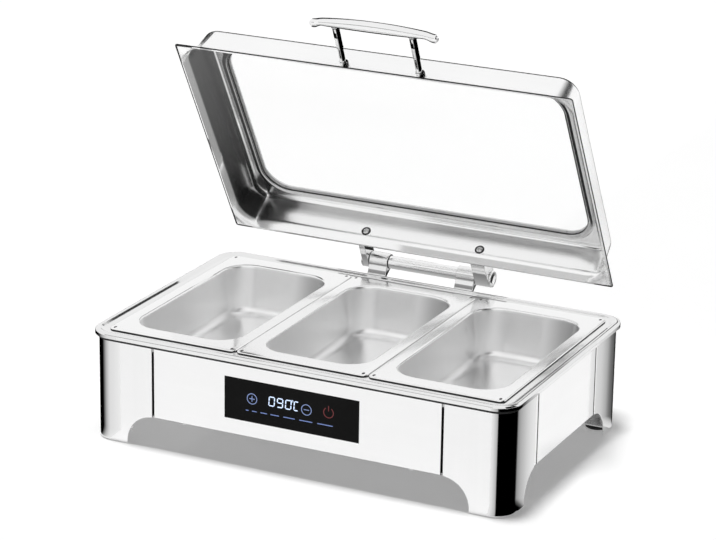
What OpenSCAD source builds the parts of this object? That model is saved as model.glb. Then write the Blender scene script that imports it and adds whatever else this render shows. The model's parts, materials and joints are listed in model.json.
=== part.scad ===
// Electric chafing dish: three food pans over a heated water bath, in a polished case on four legs,
// under a hinged lid with a window. The origin is on the table, under the middle of the case.
// +X is to the right, +Y to the back and +Z up.

/* [Food pans] */
// Width of one pan over its flange
pan_w = 176; // [160:1:190]
// Length of one pan over its flange, front to back
pan_l = 325; // [300:1:350]
// Depth of a pan, from the top of its flange to its floor
pan_depth = 65; // [58:1:75]
// Gap between neighbouring pans
pan_gap = 1; // [0.6:0.1:2]
// Sheet thickness of the pans and the bath
pan_sheet = 1; // [0.8:0.1:1.3]
// Flange width along a pan's long sides
pan_side = 17; // [14:0.5:20]
// Flange width at a pan's two ends
pan_end = 25; // [20:0.5:30]
// Corner radius of a pan's flange
pan_edge_r = 8; // [5:0.5:12]
// Corner radius of a bowl at its mouth
bowl_r = 34; // [30:1:40]
// Radius between a bowl's wall and its floor
bowl_fillet = 12; // [8:1:16]
// How far a bowl's wall leans in from mouth to floor
bowl_lean = 6; // [3:0.5:8]
// Height of the pans' flanges above the rim plate
pan_rise = 2.4; // [2:0.1:4]

/* [Water bath] */
// Depth of the space for water under the pans
water_space = 15; // [12:0.5:20]
// Gap between the outer bowls and the bath wall, left and right
bath_gap_x = 3.5; // [2.5:0.5:5]
// Gap between the bowls and the bath wall, front and back
bath_gap_y = 11; // [8:0.5:13]
// Corner radius of the bath at its mouth
bath_r = 20; // [18:1:30]
// Radius between the bath's wall and its floor
bath_fillet = 10; // [6:1:12]
// How far the bath's wall leans in from mouth to floor
bath_lean = 4; // [2:0.5:5]

/* [Case] */
// Sheet thickness of the case
sheet = 1.2; // [1:0.1:1.5]
// Case side beyond the outer pans, left and right
case_side = 15; // [13:0.5:20]
// Case side beyond the pans, front and back
case_end = 13.5; // [12:0.5:20]
// Radius of the case's upright corners
corner_r = 24; // [20:1:30]
// Height of the panels' lower edge above the table
panel_low = 41; // [36:1:50]
// Width of a corner leg along each side of the case
leg_span = 85.5; // [80:0.5:95]
// Radius of the cut-out between a leg's foot and its seam
leg_cut_r = 36.5; // [32:0.5:38]
// Gap at the seams between legs and panels
seam_gap = 2.2; // [1:0.1:3]
// Depth of the turned-in edges at the seams
return_d = 7.5; // [5:0.5:8]
// Depth of the panels' turned-in lower edge
lower_return = 12; // [10:0.5:14]
// Thickness of the inner frame under the rim
frame_t = 2; // [1.5:0.1:2.5]
// Height of the inner frame
frame_h = 12; // [10:0.5:13]

/* [Feet] */
// Radius of a rubber foot
foot_r = 15; // [13:0.5:26]
// Height of a rubber foot
foot_h = 6; // [5:0.5:8]
// Gap between a foot and the leg's walls
foot_gap = 1.8; // [1.5:0.1:3]
// Height of the legs' lower edge above the table
leg_clear = 1.5; // [1:0.1:3]
// Thickness of the plate that a foot is screwed to
foot_plate = 1.5; // [1.2:0.1:2]

/* [Rim] */
// Sheet thickness of the rim
rim_sheet = 1.2; // [1:0.1:1.5]
// How far the rim stands out past the case
rim_over = 5; // [4:0.5:7]
// Width of the rim's raised edge
rim_edge = 12; // [10:0.5:13]
// Height of the raised edge above the rim plate
rim_rise = 2.8; // [2:0.1:4]
// Radius of the rim's rounded nose
rim_nose = 4; // [3:0.1:5]
// How far the rim's outer side reaches below its plate
rim_drop = 4.5; // [3:0.5:6]

/* [Control panel] */
// Width of the control glass
glass_w = 181; // [160:1:200]
// How far the control glass is right of the middle
glass_x = -4; // [-8:0.5:8]
// Height of the control glass
glass_h = 53.5; // [48:0.5:56]
// Thickness of the control glass
glass_t = 4; // [3:0.1:5]
// Gap round the control glass in its cut-out
glass_fit = 0.3; // [0.2:0.1:0.5]
// Thickness of the gasket behind the control glass
gasket_t = 1.6; // [1:0.1:2]
// Width of the tray's ledge behind the control glass
tray_ledge = 5; // [4:0.5:6]
// Width of the tray outside the control glass
tray_rim = 5; // [4:0.5:6]
// Wall thickness of the control tray
tray_wall = 2; // [1.5:0.1:2.5]
// Depth of the control tray
tray_d = 17; // [15:0.5:18]
// Thickness of the circuit boards
board_t = 1.6; // [1.2:0.1:2]
// Width of the display block
display_w = 50; // [40:1:54]
// Height of the display block
display_h = 20; // [16:1:22]

/* [Heater] */
// Thickness of the insulation mat
mat_t = 4; // [3:0.5:6]
// Diameter of the heating element
element_d = 7; // [6:0.1:8]
// Gap between the heating element and the reflector
element_gap = 2.5; // [2:0.1:4]
// How far the heater plate stays inside the bath's mouth at each end
heater_in_x = 42.5; // [35:0.5:50]
// How far the heater plate stays inside the bath's mouth at front and rear
heater_in_y = 35; // [30:0.5:45]
// Thickness of the heater plate
heater_t = 3; // [2:0.1:4]
// Gap between the heater plate and the bath
heater_gap = 0.5; // [0.3:0.1:1]
// Sheet thickness of the reflector
reflector_t = 1; // [0.8:0.1:1.2]
// Radius of the heater plate's supports
support_r = 5; // [4:0.5:6]
// Radius of the leads
lead_r = 2; // [1.5:0.1:2.2]

/* [Power board and inlet] */
// Width of the power board
power_w = 100; // [80:1:110]
// Height of the power board
power_h = 54; // [44:1:60]
// Size of the power board's terminal blocks
terminal_h = 14; // [12:1:16]
// Width of the inlet's body
inlet_w = 27; // [26:0.5:29]
// Height of the inlet's body
inlet_h = 20; // [19:0.5:22]
// Height of the inlet's middle above the panels' lower edge
inlet_up = 30; // [28:1:36]
// Width of the inlet's flange
inlet_flange_w = 50; // [46:1:54]

/* [Lid] */
// How far the lid is drawn open, in degrees
lid_open = 60; // [0:1:90]
// Sheet thickness of the lid
lid_sheet = 1; // [0.8:0.1:1.3]
// How far the lid's flange reaches past the outer pans, left and right
lid_lap = 2.5; // [1:0.5:4]
// Extra length of the lid's flange over the pans, front to back
lid_extra = 1; // [0:0.5:3]
// How far the lid is set back from the middle
lid_back = 1.5; // [0:0.5:2]
// How far the lid's edge stands out from its walls
lid_flange = 8.5; // [7:0.5:10]
// Width of the flat edge outside the flare of the walls
lid_edge = 1.5; // [1.2:0.1:2]
// Radius between the flare and the walls
flare_r = 11; // [8:0.5:12]
// Height of the lid from under its flange to its roof
lid_h = 50; // [44:1:60]
// Corner radius of the lid's walls at the flange
lid_r = 29; // [27:1:34]
// Corner radius of the lid's flange
lid_flange_r = 4; // [2:0.5:8]
// How far the lid's walls lean in from flange to roof
lid_lean = 4.5; // [3:0.5:6]
// Radius between the lid's walls and its roof
lid_roof_r = 8; // [6:0.5:10]
// Width of the roof round the window
window_margin = 26; // [24:0.5:30]
// Corner radius of the window
window_r = 34; // [28:1:40]
// Thickness of the window's pane
pane_t = 4; // [3:0.1:5]
// How far the pane reaches under the roof
pane_lap = 7; // [6:0.5:9]
// Thickness of the seal round the pane
seal_t = 1.2; // [1:0.1:1.6]

/* [Handle] */
// Place of the handle along the lid's front wall
handle_x = 7.5; // [-10:0.5:10]
// Height of the handle's posts above the underside of the lid's flange
handle_up = 20; // [18:0.2:23]
// Distance between the posts
post_gap = 103; // [90:1:120]
// Radius of a post
post_r = 4.4; // [4:0.1:5.5]
// Length of a post
post_l = 53; // [45:1:60]
// Length of the grip
grip_l = 171; // [150:1:190]
// Thickness of the grip at its middle
grip_t = 13; // [11:0.5:16]
// Depth of the grip
grip_d = 12; // [10:0.5:16]
// How much thinner the grip is at its ends
grip_bow = 6; // [4:0.5:7]

/* [Hinge] */
// Distance of the hinge axis behind the case
hinge_back = 25.5; // [24:0.5:32]
// Height of the hinge axis above the rim plate
hinge_up = 15; // [14.5:0.5:20]
// Length of the barrel between the two brackets
tube_l = 98; // [80:1:110]
// Place of the barrel's middle along the axis
tube_x = -5.5; // [-6:0.5:6]
// Radius of the barrel
tube_r = 8.5; // [8:0.1:9]
// Radius of the brackets' clamps and the lid's knuckles
ring_r = 11; // [10.5:0.1:12]
// Width of a bracket
clamp_w = 26; // [20:1:27]
// Half length of the hinge, to the outer side of the knuckles
hinge_half = 89.5; // [88:0.5:96]
// Radius of the hinge shaft
shaft_r = 4; // [3.5:0.1:4.5]
// Running clearance of the hinge shaft, on the radius
shaft_play = 0.05; // [0.02:0.01:0.09]
// Wall thickness of the bushes
bush_t = 2; // [1.5:0.1:2.2]

/* [Screws] */
// Radius of the screws' shanks
screw_r = 2; // [1.5:0.1:2.2]
// Radius of the screws' heads
screw_head_r = 4; // [3.5:0.1:4.5]
// Height of the screws' heads
screw_head_h = 2.4; // [2:0.1:3]

/* [Hidden] */
$fn = 64;

// Clearances: sheets that seat on each other, fixed pieces that are fitted, and running gaps
seat_gap = 0.2;
fit = 0.1;
run_gap = 0.5;
// Overshoot of cuts
over = 1;
// Steps in a rounded profile
arc_steps = 5;

// Heights, from the table up
floor_top = panel_low + 2 * sheet;
reflector_low = floor_top + mat_t;
element_low = reflector_low + reflector_t + element_gap;
heater_low = element_low + element_d;
bath_low = heater_low + heater_t + heater_gap;
pan_floor = bath_low + pan_sheet + water_space;
pan_top = pan_floor + pan_depth;
plate_z = pan_top - pan_rise;
ledge_top = plate_z - pan_sheet - 2 * seat_gap;
bath_top = ledge_top + seat_gap + pan_sheet;
casing_top = plate_z - rim_sheet;
frame_low = casing_top - frame_h;
rim_low = plate_z - rim_drop;
return_low = floor_top + over;
return_top = frame_low - run_gap;

// Plan sizes, from the pans outwards
pan_pitch = pan_w + pan_gap;
pans_w = 3 * pan_w + 2 * pan_gap;
bowl_w = pan_w - 2 * pan_side;
bowl_l = pan_l - 2 * pan_end;
bath_w = 2 * (pan_pitch + bowl_w / 2 + pan_sheet + bath_gap_x);
bath_l = bowl_l + 2 * (pan_sheet + bath_gap_y);
lip_gap = 1.5;
bath_lip_w = pans_w - 2 * (pan_sheet + lip_gap);
bath_lip_l = pan_l - 2 * (pan_sheet + lip_gap);
hole_gap = 0.8;
hole_w = bath_w + 2 * (pan_sheet + hole_gap);
hole_l = bath_l + 2 * (pan_sheet + hole_gap);
seat_w = bath_lip_w + 2 * hole_gap;
seat_l = bath_lip_l + 2 * hole_gap;
seat_r = pan_edge_r;
body_w = pans_w + 2 * case_side;
body_d = pan_l + 2 * case_end;
rim_w = body_w + 2 * rim_over;
rim_d = body_d + 2 * rim_over;
rim_r = corner_r + rim_over;
front_len = body_w - 2 * leg_span - seam_gap;
side_len = body_d - 2 * leg_span - seam_gap;
foot_room = sheet + foot_gap + foot_r;
foot_in = max(foot_room, corner_r - (corner_r - foot_room) / sqrt(2));
foot_span = leg_span - leg_cut_r;
screw_fit = screw_r + fit;

// Control panel: its middle, and depths behind the front face
glass_z = (panel_low + frame_low) / 2 + 3.8;
ledge_front = glass_t + gasket_t;
ledge_back = ledge_front + tray_wall;
boss_r = 2.5;
boss_l = 4;
board_front = ledge_back + boss_l;
tray_w = glass_w + 2 * tray_rim;
tray_h = glass_h + 2 * tray_rim;
tray_back = sheet + tray_d;
tray_open_w = glass_w - 2 * tray_ledge;
tray_open_h = glass_h - 2 * tray_ledge;
boss_z = tray_open_h / 2 + boss_r;
board_w = tray_open_w;
board_h = 2 * (boss_z + boss_r);
display_x = -12;
display_z = 3;
touch_spots = [[-53, 3.5], [20.5, 3], [50, 5]];

// Heater
heater_w = bath_w - 2 * heater_in_x;
heater_d = bath_l - 2 * heater_in_y;
run_pitch = 2 * floor((heater_d - 50) / 6);
run_half = heater_w / 2 - 40;
lead_out = 35;
element_z = heater_low - element_d / 2;
reflector_w = heater_w + 40;
reflector_d = heater_d + 40;
reflector_wall = 8;
support_x = heater_w / 2 - 15;
support_y = heater_d / 2 - 12;

// Channel between the bath and the case, where the leads run
channel_x = bath_w / 2 + pan_sheet + 9;
channel_y = bath_l / 2 + pan_sheet + 6;
ribbon_w = 12;
ribbon_t = 1.2;

// Power board and inlet at the rear panel
inner_rear = body_d / 2 - sheet;
standoff_l = 12;
power_y = inner_rear - standoff_l;
power_x = front_len / 2 - 8 - power_w / 2;
power_z = floor_top + 5 + power_h / 2;
inlet_x = tube_x;
inlet_z = panel_low + inlet_up;
inlet_flange_h = inlet_h + 5;
inlet_flange_t = 2.5;
inlet_wall = 1.5;
inlet_back = body_d / 2 - 14;
inlet_deep = 16;
boot_t = 1.5;
boot_d = 7;

// Lid, closed
lid_low = pan_top + 0.3;
lid_top = lid_low + lid_h;
lid_w = pans_w + 2 * lid_lap;
lid_d = pan_l + lid_extra;
wall_w = lid_w - 2 * lid_flange;
wall_d = lid_d - 2 * lid_flange;
wall_h = lid_h - lid_roof_r;
lean_a = atan(lid_lean / wall_h);
flare_out = lid_flange - lid_edge;
flare_up = (flare_out + lid_sheet + flare_r * (sqrt(2) - cos(lean_a) - sin(lean_a)))
    / (cos(lean_a) - sin(lean_a));
flare_c = [lid_r - flare_up * sin(lean_a) + flare_r * cos(lean_a),
    lid_low + flare_up * cos(lean_a) + flare_r * sin(lean_a)];
edge_sink = 0.3 * lid_sheet;
edge_left = 1 - 2 * edge_sink / lid_sheet;
edge_lap = flare_out - 0.95 * lid_sheet;
roof_w = wall_w - 2 * (lid_lean + lid_roof_r);
roof_d = wall_d - 2 * (lid_lean + lid_roof_r);
roof_r = lid_r - lid_lean - lid_roof_r;
roof_lap = 2 * lid_sheet;
roof_low = lid_top - lid_sheet;
window_w = wall_w - 2 * (lid_lean + window_margin);
window_d = wall_d - 2 * (lid_lean + window_margin);
pane_top = roof_low - seal_t;
pane_low = pane_top - pane_t;
seal_low = pane_low - seal_t;
retainer_t = 1;
handle_z = lid_low + handle_up;
handle_y = lid_back - wall_d / 2 + lid_lean * handle_up / wall_h;
arm_up = 16.8;
arm_z = lid_low + arm_up;
arm_y = lid_back + wall_d / 2 - lid_lean * arm_up / wall_h;
arm_pad_w = 22;
arm_pad_t = 5;
arm_pad_h = 20;
arm_pad_low = 3.6;
arm_pad_in = 1.6;
arm_x = hinge_half - arm_pad_w / 2 + 2;

// Hinge axis, and the ends of the brackets along it
hinge_y = body_d / 2 + hinge_back;
hinge_z = plate_z + hinge_up;
clamp_low = tube_x - tube_l / 2 - clamp_w;
clamp_high = tube_x + tube_l / 2 + clamp_w;
bracket_t = 4;
bracket_h = 48;
bush_l = 16;
cap_t = 2.5;

// Points of an arc about a centre
function arc(c, r, a0, a1) = [for (i = [0:arc_steps])
    let (a = a0 + (a1 - a0) * i / arc_steps) c + r * [cos(a), sin(a)]];
function reversed(p) = [for (i = [len(p) - 1:-1:0]) p[i]];

// Rounded rectangle, centred
module rounded(w, d, r) {
    square([w - 2 * r, d], center = true);
    square([w, d - 2 * r], center = true);
    for (x = [-1, 1], y = [-1, 1])
        translate([x * (w / 2 - r), y * (d / 2 - r)])
            circle(r);
}

// Flat ring between two rounded rectangles
module ring(w, d, r, iw, id, ir) {
    difference() {
        rounded(w, d, r);
        rounded(iw, id, ir);
    }
}

// Flat shape raised to a height and given a thickness
module slab(low, t) {
    translate([0, 0, low])
        linear_extrude(t)
            children();
}

// Carries a profile, drawn as radius and height about a corner's centre, round a rounded rectangle
module carried(w, d, r) {
    for (side = [[0, w, d], [90, d, w], [180, w, d], [270, d, w]])
        rotate(side[0])
            translate([side[1] / 2 - r, 0, 0])
                rotate([90, 0, 0])
                    linear_extrude(2 * (side[2] / 2 - r), center = true)
                        children();
    for (corner = [[1, 1, 0], [-1, 1, 90], [-1, -1, 180], [1, -1, 270]])
        translate([corner[0] * (w / 2 - r), corner[1] * (d / 2 - r), 0])
            rotate(corner[2])
                rotate_extrude(angle = 90)
                    children();
}

// Cylinder along X, from x0 to x1
module along_x(x0, x1, r) {
    translate([x0, 0, 0])
        rotate([0, 90, 0])
            cylinder(h = x1 - x0, r = r);
}

// Profile in Y and Z, carried along X from x0 to x1
module across_x(x0, x1) {
    translate([x0, 0, 0])
        rotate([90, 0, 90])
            linear_extrude(x1 - x0)
                children();
}

// Screw whose head sits on Z = 0, with its shank upwards
module screw(length) {
    translate([0, 0, -screw_head_h])
        cylinder(h = screw_head_h, r = screw_head_r);
    cylinder(h = length, r = screw_r);
}

// Lead through a list of points, with a sleeved elbow at each turn
module lead(points, r) {
    sleeve = 1.3;
    for (i = [0:len(points) - 2]) {
        step = points[i + 1] - points[i];
        length = norm(step);
        translate(points[i])
            rotate([0, acos(step[2] / length), atan2(step[1], step[0])])
                cylinder(h = length, r = r);
    }
    for (i = [1:len(points) - 2])
        translate(points[i])
            sphere(r * sleeve);
}

// Inner side of a bowl, from its mouth to the middle of its floor
function bowl_side(r, top, low, lean, fillet) = concat([[r, top]],
    arc([r - lean - fillet, low + fillet], fillet, 0, -90), [[0, low]]);

// Sheet bowl with rounded corners; the sizes are those of the inside at the mouth
module bowl(w, d, r, top, low, lean, fillet) {
    t = pan_sheet;
    carried(w, d, r)
        polygon(concat(bowl_side(r, top, low, lean, fillet),
            reversed(bowl_side(r + t, top, low - t, lean, fillet + t))));
    translate([0, 0, low - t / 2])
        cube([w - 2 * r, d - 2 * r, t], center = true);
}

// Food pan: a bowl, its flange and the flange's turned-down edge
module food_pan(place) {
    color("gainsboro")
    translate([place * pan_pitch, 0, 0]) {
        bowl(bowl_w, bowl_l, bowl_r, pan_top, pan_floor, bowl_lean, bowl_fillet);
        slab(pan_top - pan_sheet, pan_sheet)
            ring(pan_w, pan_l, pan_edge_r,
                bowl_w + pan_sheet, bowl_l + pan_sheet, bowl_r + pan_sheet / 2);
        slab(plate_z + seat_gap, pan_rise - seat_gap)
            ring(pan_w, pan_l, pan_edge_r,
                pan_w - 2 * pan_sheet, pan_l - 2 * pan_sheet, pan_edge_r - pan_sheet);
    }
}

// Bath that holds the water; its flange sits on the rim's ledge, under the food pans' flanges
module water_pan() {
    color("lightgray") {
        bowl(bath_w, bath_l, bath_r, bath_top, bath_low + pan_sheet, bath_lean, bath_fillet);
        slab(bath_top - pan_sheet, pan_sheet)
            ring(bath_lip_w, bath_lip_l, seat_r - hole_gap,
                bath_w + pan_sheet, bath_l + pan_sheet, bath_r + pan_sheet / 2);
    }
}

// Outer side of the rim's raised edge, set in by the sheet's thickness for its inner side
function rim_side(t) = concat(
    [for (i = [0:arc_steps]) let (s = i / arc_steps)
        [rim_r - rim_edge + s * (rim_edge - rim_nose), plate_z - t + rim_rise * (1 - cos(180 * s)) / 2]],
    arc([rim_r - rim_nose, plate_z + rim_rise - rim_nose], rim_nose - t, 90, 0),
    [[rim_r - t, rim_low]]);

// Rim: a plate with a raised, rounded edge outside and a sunk ledge for the bath inside
module top_rim() {
    color("gainsboro") {
        carried(rim_w, rim_d, rim_r)
            polygon(concat(rim_side(0), reversed(rim_side(rim_sheet))));
        slab(casing_top, rim_sheet)
            ring(rim_w - 2 * rim_edge, rim_d - 2 * rim_edge, rim_r - rim_edge, seat_w, seat_l, seat_r);
        slab(ledge_top - rim_sheet, plate_z - ledge_top + rim_sheet)
            ring(seat_w + 2 * rim_sheet, seat_l + 2 * rim_sheet, seat_r + rim_sheet,
                seat_w, seat_l, seat_r);
        slab(ledge_top - rim_sheet, rim_sheet)
            ring(seat_w + rim_sheet, seat_l + rim_sheet, seat_r + rim_sheet / 2,
                hole_w, hole_l, bath_r + hole_gap);
    }
}

// Cut-out between a leg's foot and its seam, in the plane of a wall
module leg_arch() {
    circle(leg_cut_r);
    translate([-leg_cut_r, -panel_low])
        square([2 * leg_cut_r, panel_low]);
}

// Rear right corner leg: a rounded corner sheet, turned in at its seams, on a plate for the foot
module leg() {
    seam = leg_span - seam_gap / 2;
    cut_z = panel_low - leg_cut_r;
    color("gainsboro")
    difference() {
        union() {
            slab(leg_clear, casing_top - leg_clear)
                intersection() {
                    ring(body_w, body_d, corner_r,
                        body_w - 2 * sheet, body_d - 2 * sheet, corner_r - sheet);
                    translate([body_w / 2 - seam, body_d / 2 - seam])
                        square(seam);
                }
            translate([body_w / 2 - seam, body_d / 2 - sheet - return_d, return_low])
                cube([sheet, return_d + sheet / 2, return_top - return_low]);
            translate([body_w / 2 - sheet - return_d, body_d / 2 - seam, return_low])
                cube([return_d + sheet / 2, sheet, return_top - return_low]);
            slab(foot_h, foot_plate)
                intersection() {
                    rounded(body_w - sheet, body_d - sheet, corner_r - sheet / 2);
                    translate([body_w / 2 - foot_span, body_d / 2 - foot_span])
                        square(foot_span);
                }
        }
        translate([body_w / 2 - leg_span, body_d / 2 + over, cut_z])
            rotate([90, 0, 0])
                linear_extrude(sheet + over + fit)
                    leg_arch();
        translate([body_w / 2 - sheet - fit, body_d / 2 - leg_span, cut_z])
            rotate([90, 0, 90])
                linear_extrude(sheet + over + fit)
                    leg_arch();
        at_foot(foot_h - over)
            cylinder(h = foot_plate + 2 * over, r = screw_fit);
    }
}

// Puts a piece on the foot's axis, at a height
module at_foot(z) {
    translate([body_w / 2 - foot_in, body_d / 2 - foot_in, z])
        children();
}

// Rubber foot with a recess for its screw's head
module foot() {
    recess = foot_h / 2;
    color("black")
    at_foot(0)
        difference() {
            union() {
                cylinder(h = over, r1 = foot_r - over, r2 = foot_r);
                translate([0, 0, over])
                    cylinder(h = foot_h - over, r = foot_r);
            }
            translate([0, 0, -over])
                cylinder(h = recess + over, r = screw_head_r + over);
            cylinder(h = foot_h + over, r = screw_fit);
        }
}

// Places a piece of the rear right corner at each of the four corners
module front_left() {
    rotate(180)
        children();
}
module front_right() {
    mirror([0, 1, 0])
        children();
}
module rear_left() {
    mirror([1, 0, 0])
        children();
}

module leg_front_left() front_left() leg();
module leg_front_right() front_right() leg();
module leg_rear_left() rear_left() leg();
module leg_rear_right() leg();
module foot_front_left() front_left() foot();
module foot_front_right() front_right() foot();
module foot_rear_left() rear_left() foot();
module foot_rear_right() foot();

// Screws that hold the feet, each with its nut
module foot_screw() {
    nut_h = 3.2;
    nut_r = 4;
    at_foot(foot_h / 2)
        screw(foot_h / 2 + foot_plate + nut_h + over);
    at_foot(foot_h + foot_plate)
        cylinder(h = nut_h, r = nut_r, $fn = 6);
}
module foot_screws() {
    color("silver") {
        foot_screw();
        front_left() foot_screw();
        front_right() foot_screw();
        rear_left() foot_screw();
    }
}

// Flat panel on Y = 0, turned in at its sides and its lower edge
module panel(length) {
    translate([-length / 2, 0, panel_low])
        cube([length, sheet, casing_top - panel_low]);
    translate([-length / 2, 0, panel_low])
        cube([length, sheet + lower_return, sheet]);
    for (x = [-length / 2, length / 2 - sheet])
        translate([x, sheet / 2, return_low])
            cube([sheet, return_d + sheet / 2, return_top - return_low]);
}

// Places of the screws that hold the bottom plate to the panels' lower edges
bottom_spots = [for (x = [-1, 1], y = [-1, 1])
    each [[x * (front_len / 2 - 40), y * (body_d / 2 - sheet - lower_return / 2)],
        [x * (body_w / 2 - sheet - lower_return / 2), y * (side_len / 2 - 25)]]];
module bottom_holes() {
    for (p = bottom_spots)
        translate([p[0], p[1], panel_low - over])
            cylinder(h = 2 * sheet + 2 * over, r = screw_fit);
}

module front_panel() {
    color("whitesmoke")
    difference() {
        translate([0, -body_d / 2, 0])
            panel(front_len);
        translate([glass_x, -body_d / 2, glass_z])
            cube([glass_w + 2 * glass_fit, 2 * sheet + fit, glass_h + 2 * glass_fit], center = true);
        bottom_holes();
    }
}

module rear_panel() {
    color("whitesmoke")
    difference() {
        rotate(180)
            translate([0, -body_d / 2, 0])
                panel(front_len);
        translate([inlet_x, body_d / 2, inlet_z])
            cube([inlet_w + 2 * glass_fit, 2 * sheet + fit, inlet_h + 2 * glass_fit], center = true);
        bracket_holes(sheet + over);
        bottom_holes();
    }
}

module side_panel(turn) {
    color("whitesmoke")
    difference() {
        rotate(turn)
            translate([0, -body_w / 2, 0])
                panel(side_len);
        bottom_holes();
    }
}
module left_panel() side_panel(-90);
module right_panel() side_panel(90);

// Frame inside the top of the case: a band against the walls, turned in to carry the rim's plate
module inner_frame() {
    w = body_w - 2 * (sheet + fit);
    d = body_d - 2 * (sheet + fit);
    r = corner_r - sheet - fit;
    color("darkgray") {
        slab(frame_low, frame_h)
            ring(w, d, r, w - 2 * frame_t, d - 2 * frame_t, r - frame_t);
        slab(casing_top - frame_t, frame_t)
            ring(w - frame_t, d - frame_t, r - frame_t / 2,
                seat_w + 2 * (rim_sheet + run_gap), seat_l + 2 * (rim_sheet + run_gap), seat_r + rim_sheet);
    }
}

module bottom_plate() {
    gap = sheet + fit;
    color("darkgray")
    difference() {
        slab(panel_low + sheet, sheet)
            rounded(body_w - 2 * gap, body_d - 2 * gap, corner_r - gap);
        bottom_holes();
    }
}

module bottom_screws() {
    color("silver")
    for (p = bottom_spots)
        translate([p[0], p[1], panel_low])
            screw(2 * sheet + 2 * over);
}

// Puts a piece behind the front face, with Y inwards, about the control glass's middle
module at_control() {
    translate([glass_x, -body_d / 2, glass_z])
        children();
}
// Block about the middle of the control glass, from one depth to another
module control_block(w, h, y0, y1) {
    translate([-w / 2, y0, -h / 2])
        cube([w, y1 - y0, h]);
}

module control_glass() {
    color("black")
    at_control()
        control_block(glass_w, glass_h, 0, glass_t);
}

module glass_gasket() {
    color("dimgray")
    at_control()
        difference() {
            control_block(glass_w, glass_h, glass_t, ledge_front);
            control_block(tray_open_w, tray_open_h, glass_t - over, ledge_front + over);
        }
}

// Tray that holds the glass, the gasket and the boards behind the front panel
module control_tray() {
    color("darkslategray")
    at_control() {
        difference() {
            control_block(tray_w, tray_h, sheet, tray_back);
            control_block(glass_w + 2 * glass_fit, glass_h + 2 * glass_fit, 0, ledge_front);
            control_block(tray_open_w, tray_open_h, 0, tray_back);
            control_block(tray_w - 2 * tray_wall, tray_h - 2 * tray_wall, ledge_back, tray_back + over);
        }
        for (x = [-1, 1], z = [-1, 1])
            translate([x * (board_w / 2 - 2 * boss_r), board_front, z * boss_z])
                rotate([90, 0, 0])
                    cylinder(h = boss_l + over, r = boss_r);
    }
}

module display_module() {
    color("dimgray")
    at_control()
        translate([display_x, 0, display_z])
            control_block(display_w, display_h, glass_t + run_gap, board_front);
}

// Control board, with the light bar for the level and a socket for the ribbon cable
module control_board() {
    bar_h = 5;
    bar_z = -12;
    color("darkgreen")
    at_control() {
        control_block(board_w, board_h, board_front, board_front + board_t);
        translate([0, 0, bar_z])
            control_block(board_w * 0.7, bar_h, glass_t + 2 * run_gap, board_front + board_t / 2);
    }
}

// Springs between the board and the glass, one behind each touch key
module touch_springs() {
    spring_r = 4;
    spring_wall = 1;
    color("gold")
    at_control()
        for (p = touch_spots)
            translate([p[0], board_front, p[1]])
                rotate([90, 0, 0])
                    difference() {
                        cylinder(h = board_front - glass_t - fit, r = spring_r);
                        translate([0, 0, -over])
                            cylinder(h = board_front, r = spring_r - spring_wall);
                    }
}

// Ribbon from the control board to the power board: down, along the floor on the left, and up
module ribbon_cable() {
    drop_y = -body_d / 2 + tray_back + ribbon_t;
    board_y = -body_d / 2 + board_front + board_t;
    front_x = -60;
    rear_x = power_x - power_w / 2 + terminal_h + ribbon_w;
    left_x = -channel_x - ribbon_w / 2;
    rear_y = power_y - board_t - ribbon_t;
    color("slategray") {
        translate([front_x, board_y, glass_z - display_h])
            cube([ribbon_w, drop_y + ribbon_t - board_y, ribbon_t]);
        translate([front_x, drop_y, floor_top])
            cube([ribbon_w, ribbon_t, glass_z - display_h - floor_top + ribbon_t]);
        translate([left_x, drop_y, floor_top])
            cube([front_x + ribbon_w - left_x, ribbon_w, ribbon_t]);
        translate([left_x, drop_y, floor_top])
            cube([ribbon_w, rear_y + ribbon_t - drop_y, ribbon_t]);
        translate([left_x, rear_y - ribbon_w + ribbon_t, floor_top])
            cube([rear_x + ribbon_w / 2 - left_x, ribbon_w, ribbon_t]);
        translate([rear_x - ribbon_w / 2, rear_y, floor_top])
            cube([ribbon_w, ribbon_t, power_z - floor_top]);
    }
}

// Places of the heater plate's supports
module at_supports() {
    for (x = [-support_x, support_x], y = [-support_y, support_y])
        translate([x, y, 0])
            children();
}

module insulation_mat() {
    color("beige")
    difference() {
        slab(floor_top, mat_t)
            square([reflector_w - 10, reflector_d - 10], center = true);
        at_supports()
            cylinder(h = heater_low, r = support_r + run_gap);
    }
}

// Reflector tray under the heating element, with notches for the element's ends
module heat_reflector() {
    color("lightgray")
    difference() {
        translate([0, 0, reflector_low + reflector_wall / 2])
            cube([reflector_w, reflector_d, reflector_wall], center = true);
        translate([0, 0, reflector_low + reflector_t + reflector_wall / 2])
            cube([reflector_w - 2 * reflector_t, reflector_d - 2 * reflector_t, reflector_wall],
                center = true);
        for (y = [-1.5, 1.5])
            translate([reflector_w / 2, y * run_pitch, element_z])
                cube([3 * reflector_t, 4 * lead_r, 4 * lead_r], center = true);
        at_supports()
            cylinder(h = heater_low, r = support_r + run_gap);
    }
}

// Heating element: four runs joined by three bends, with both ends on the right
module heating_element() {
    r = element_d / 2 - fit / 2;
    $fn = 36;
    color("saddlebrown")
    translate([0, 0, element_z - fit / 2]) {
        for (i = [-1.5:1.5])
            translate([0, i * run_pitch, 0])
                along_x(-run_half, run_half + (abs(i) > 1 ? lead_out : 0), r);
        for (bend = [[-1, -1, 90], [1, 0, -90], [-1, 1, 90]])
            translate([bend[0] * run_half, bend[1] * run_pitch, 0])
                for (half = [0, 90])
                    rotate(bend[2] + half)
                        rotate_extrude(angle = 90)
                            translate([run_pitch / 2, 0])
                                circle(r);
    }
}

module heater_plate() {
    color("silver")
    slab(heater_low, heater_t)
        square([heater_w, heater_d], center = true);
}

module heater_supports() {
    color("dimgray")
    at_supports()
        translate([0, 0, floor_top])
            cylinder(h = heater_low - floor_top, r = support_r);
}

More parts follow.
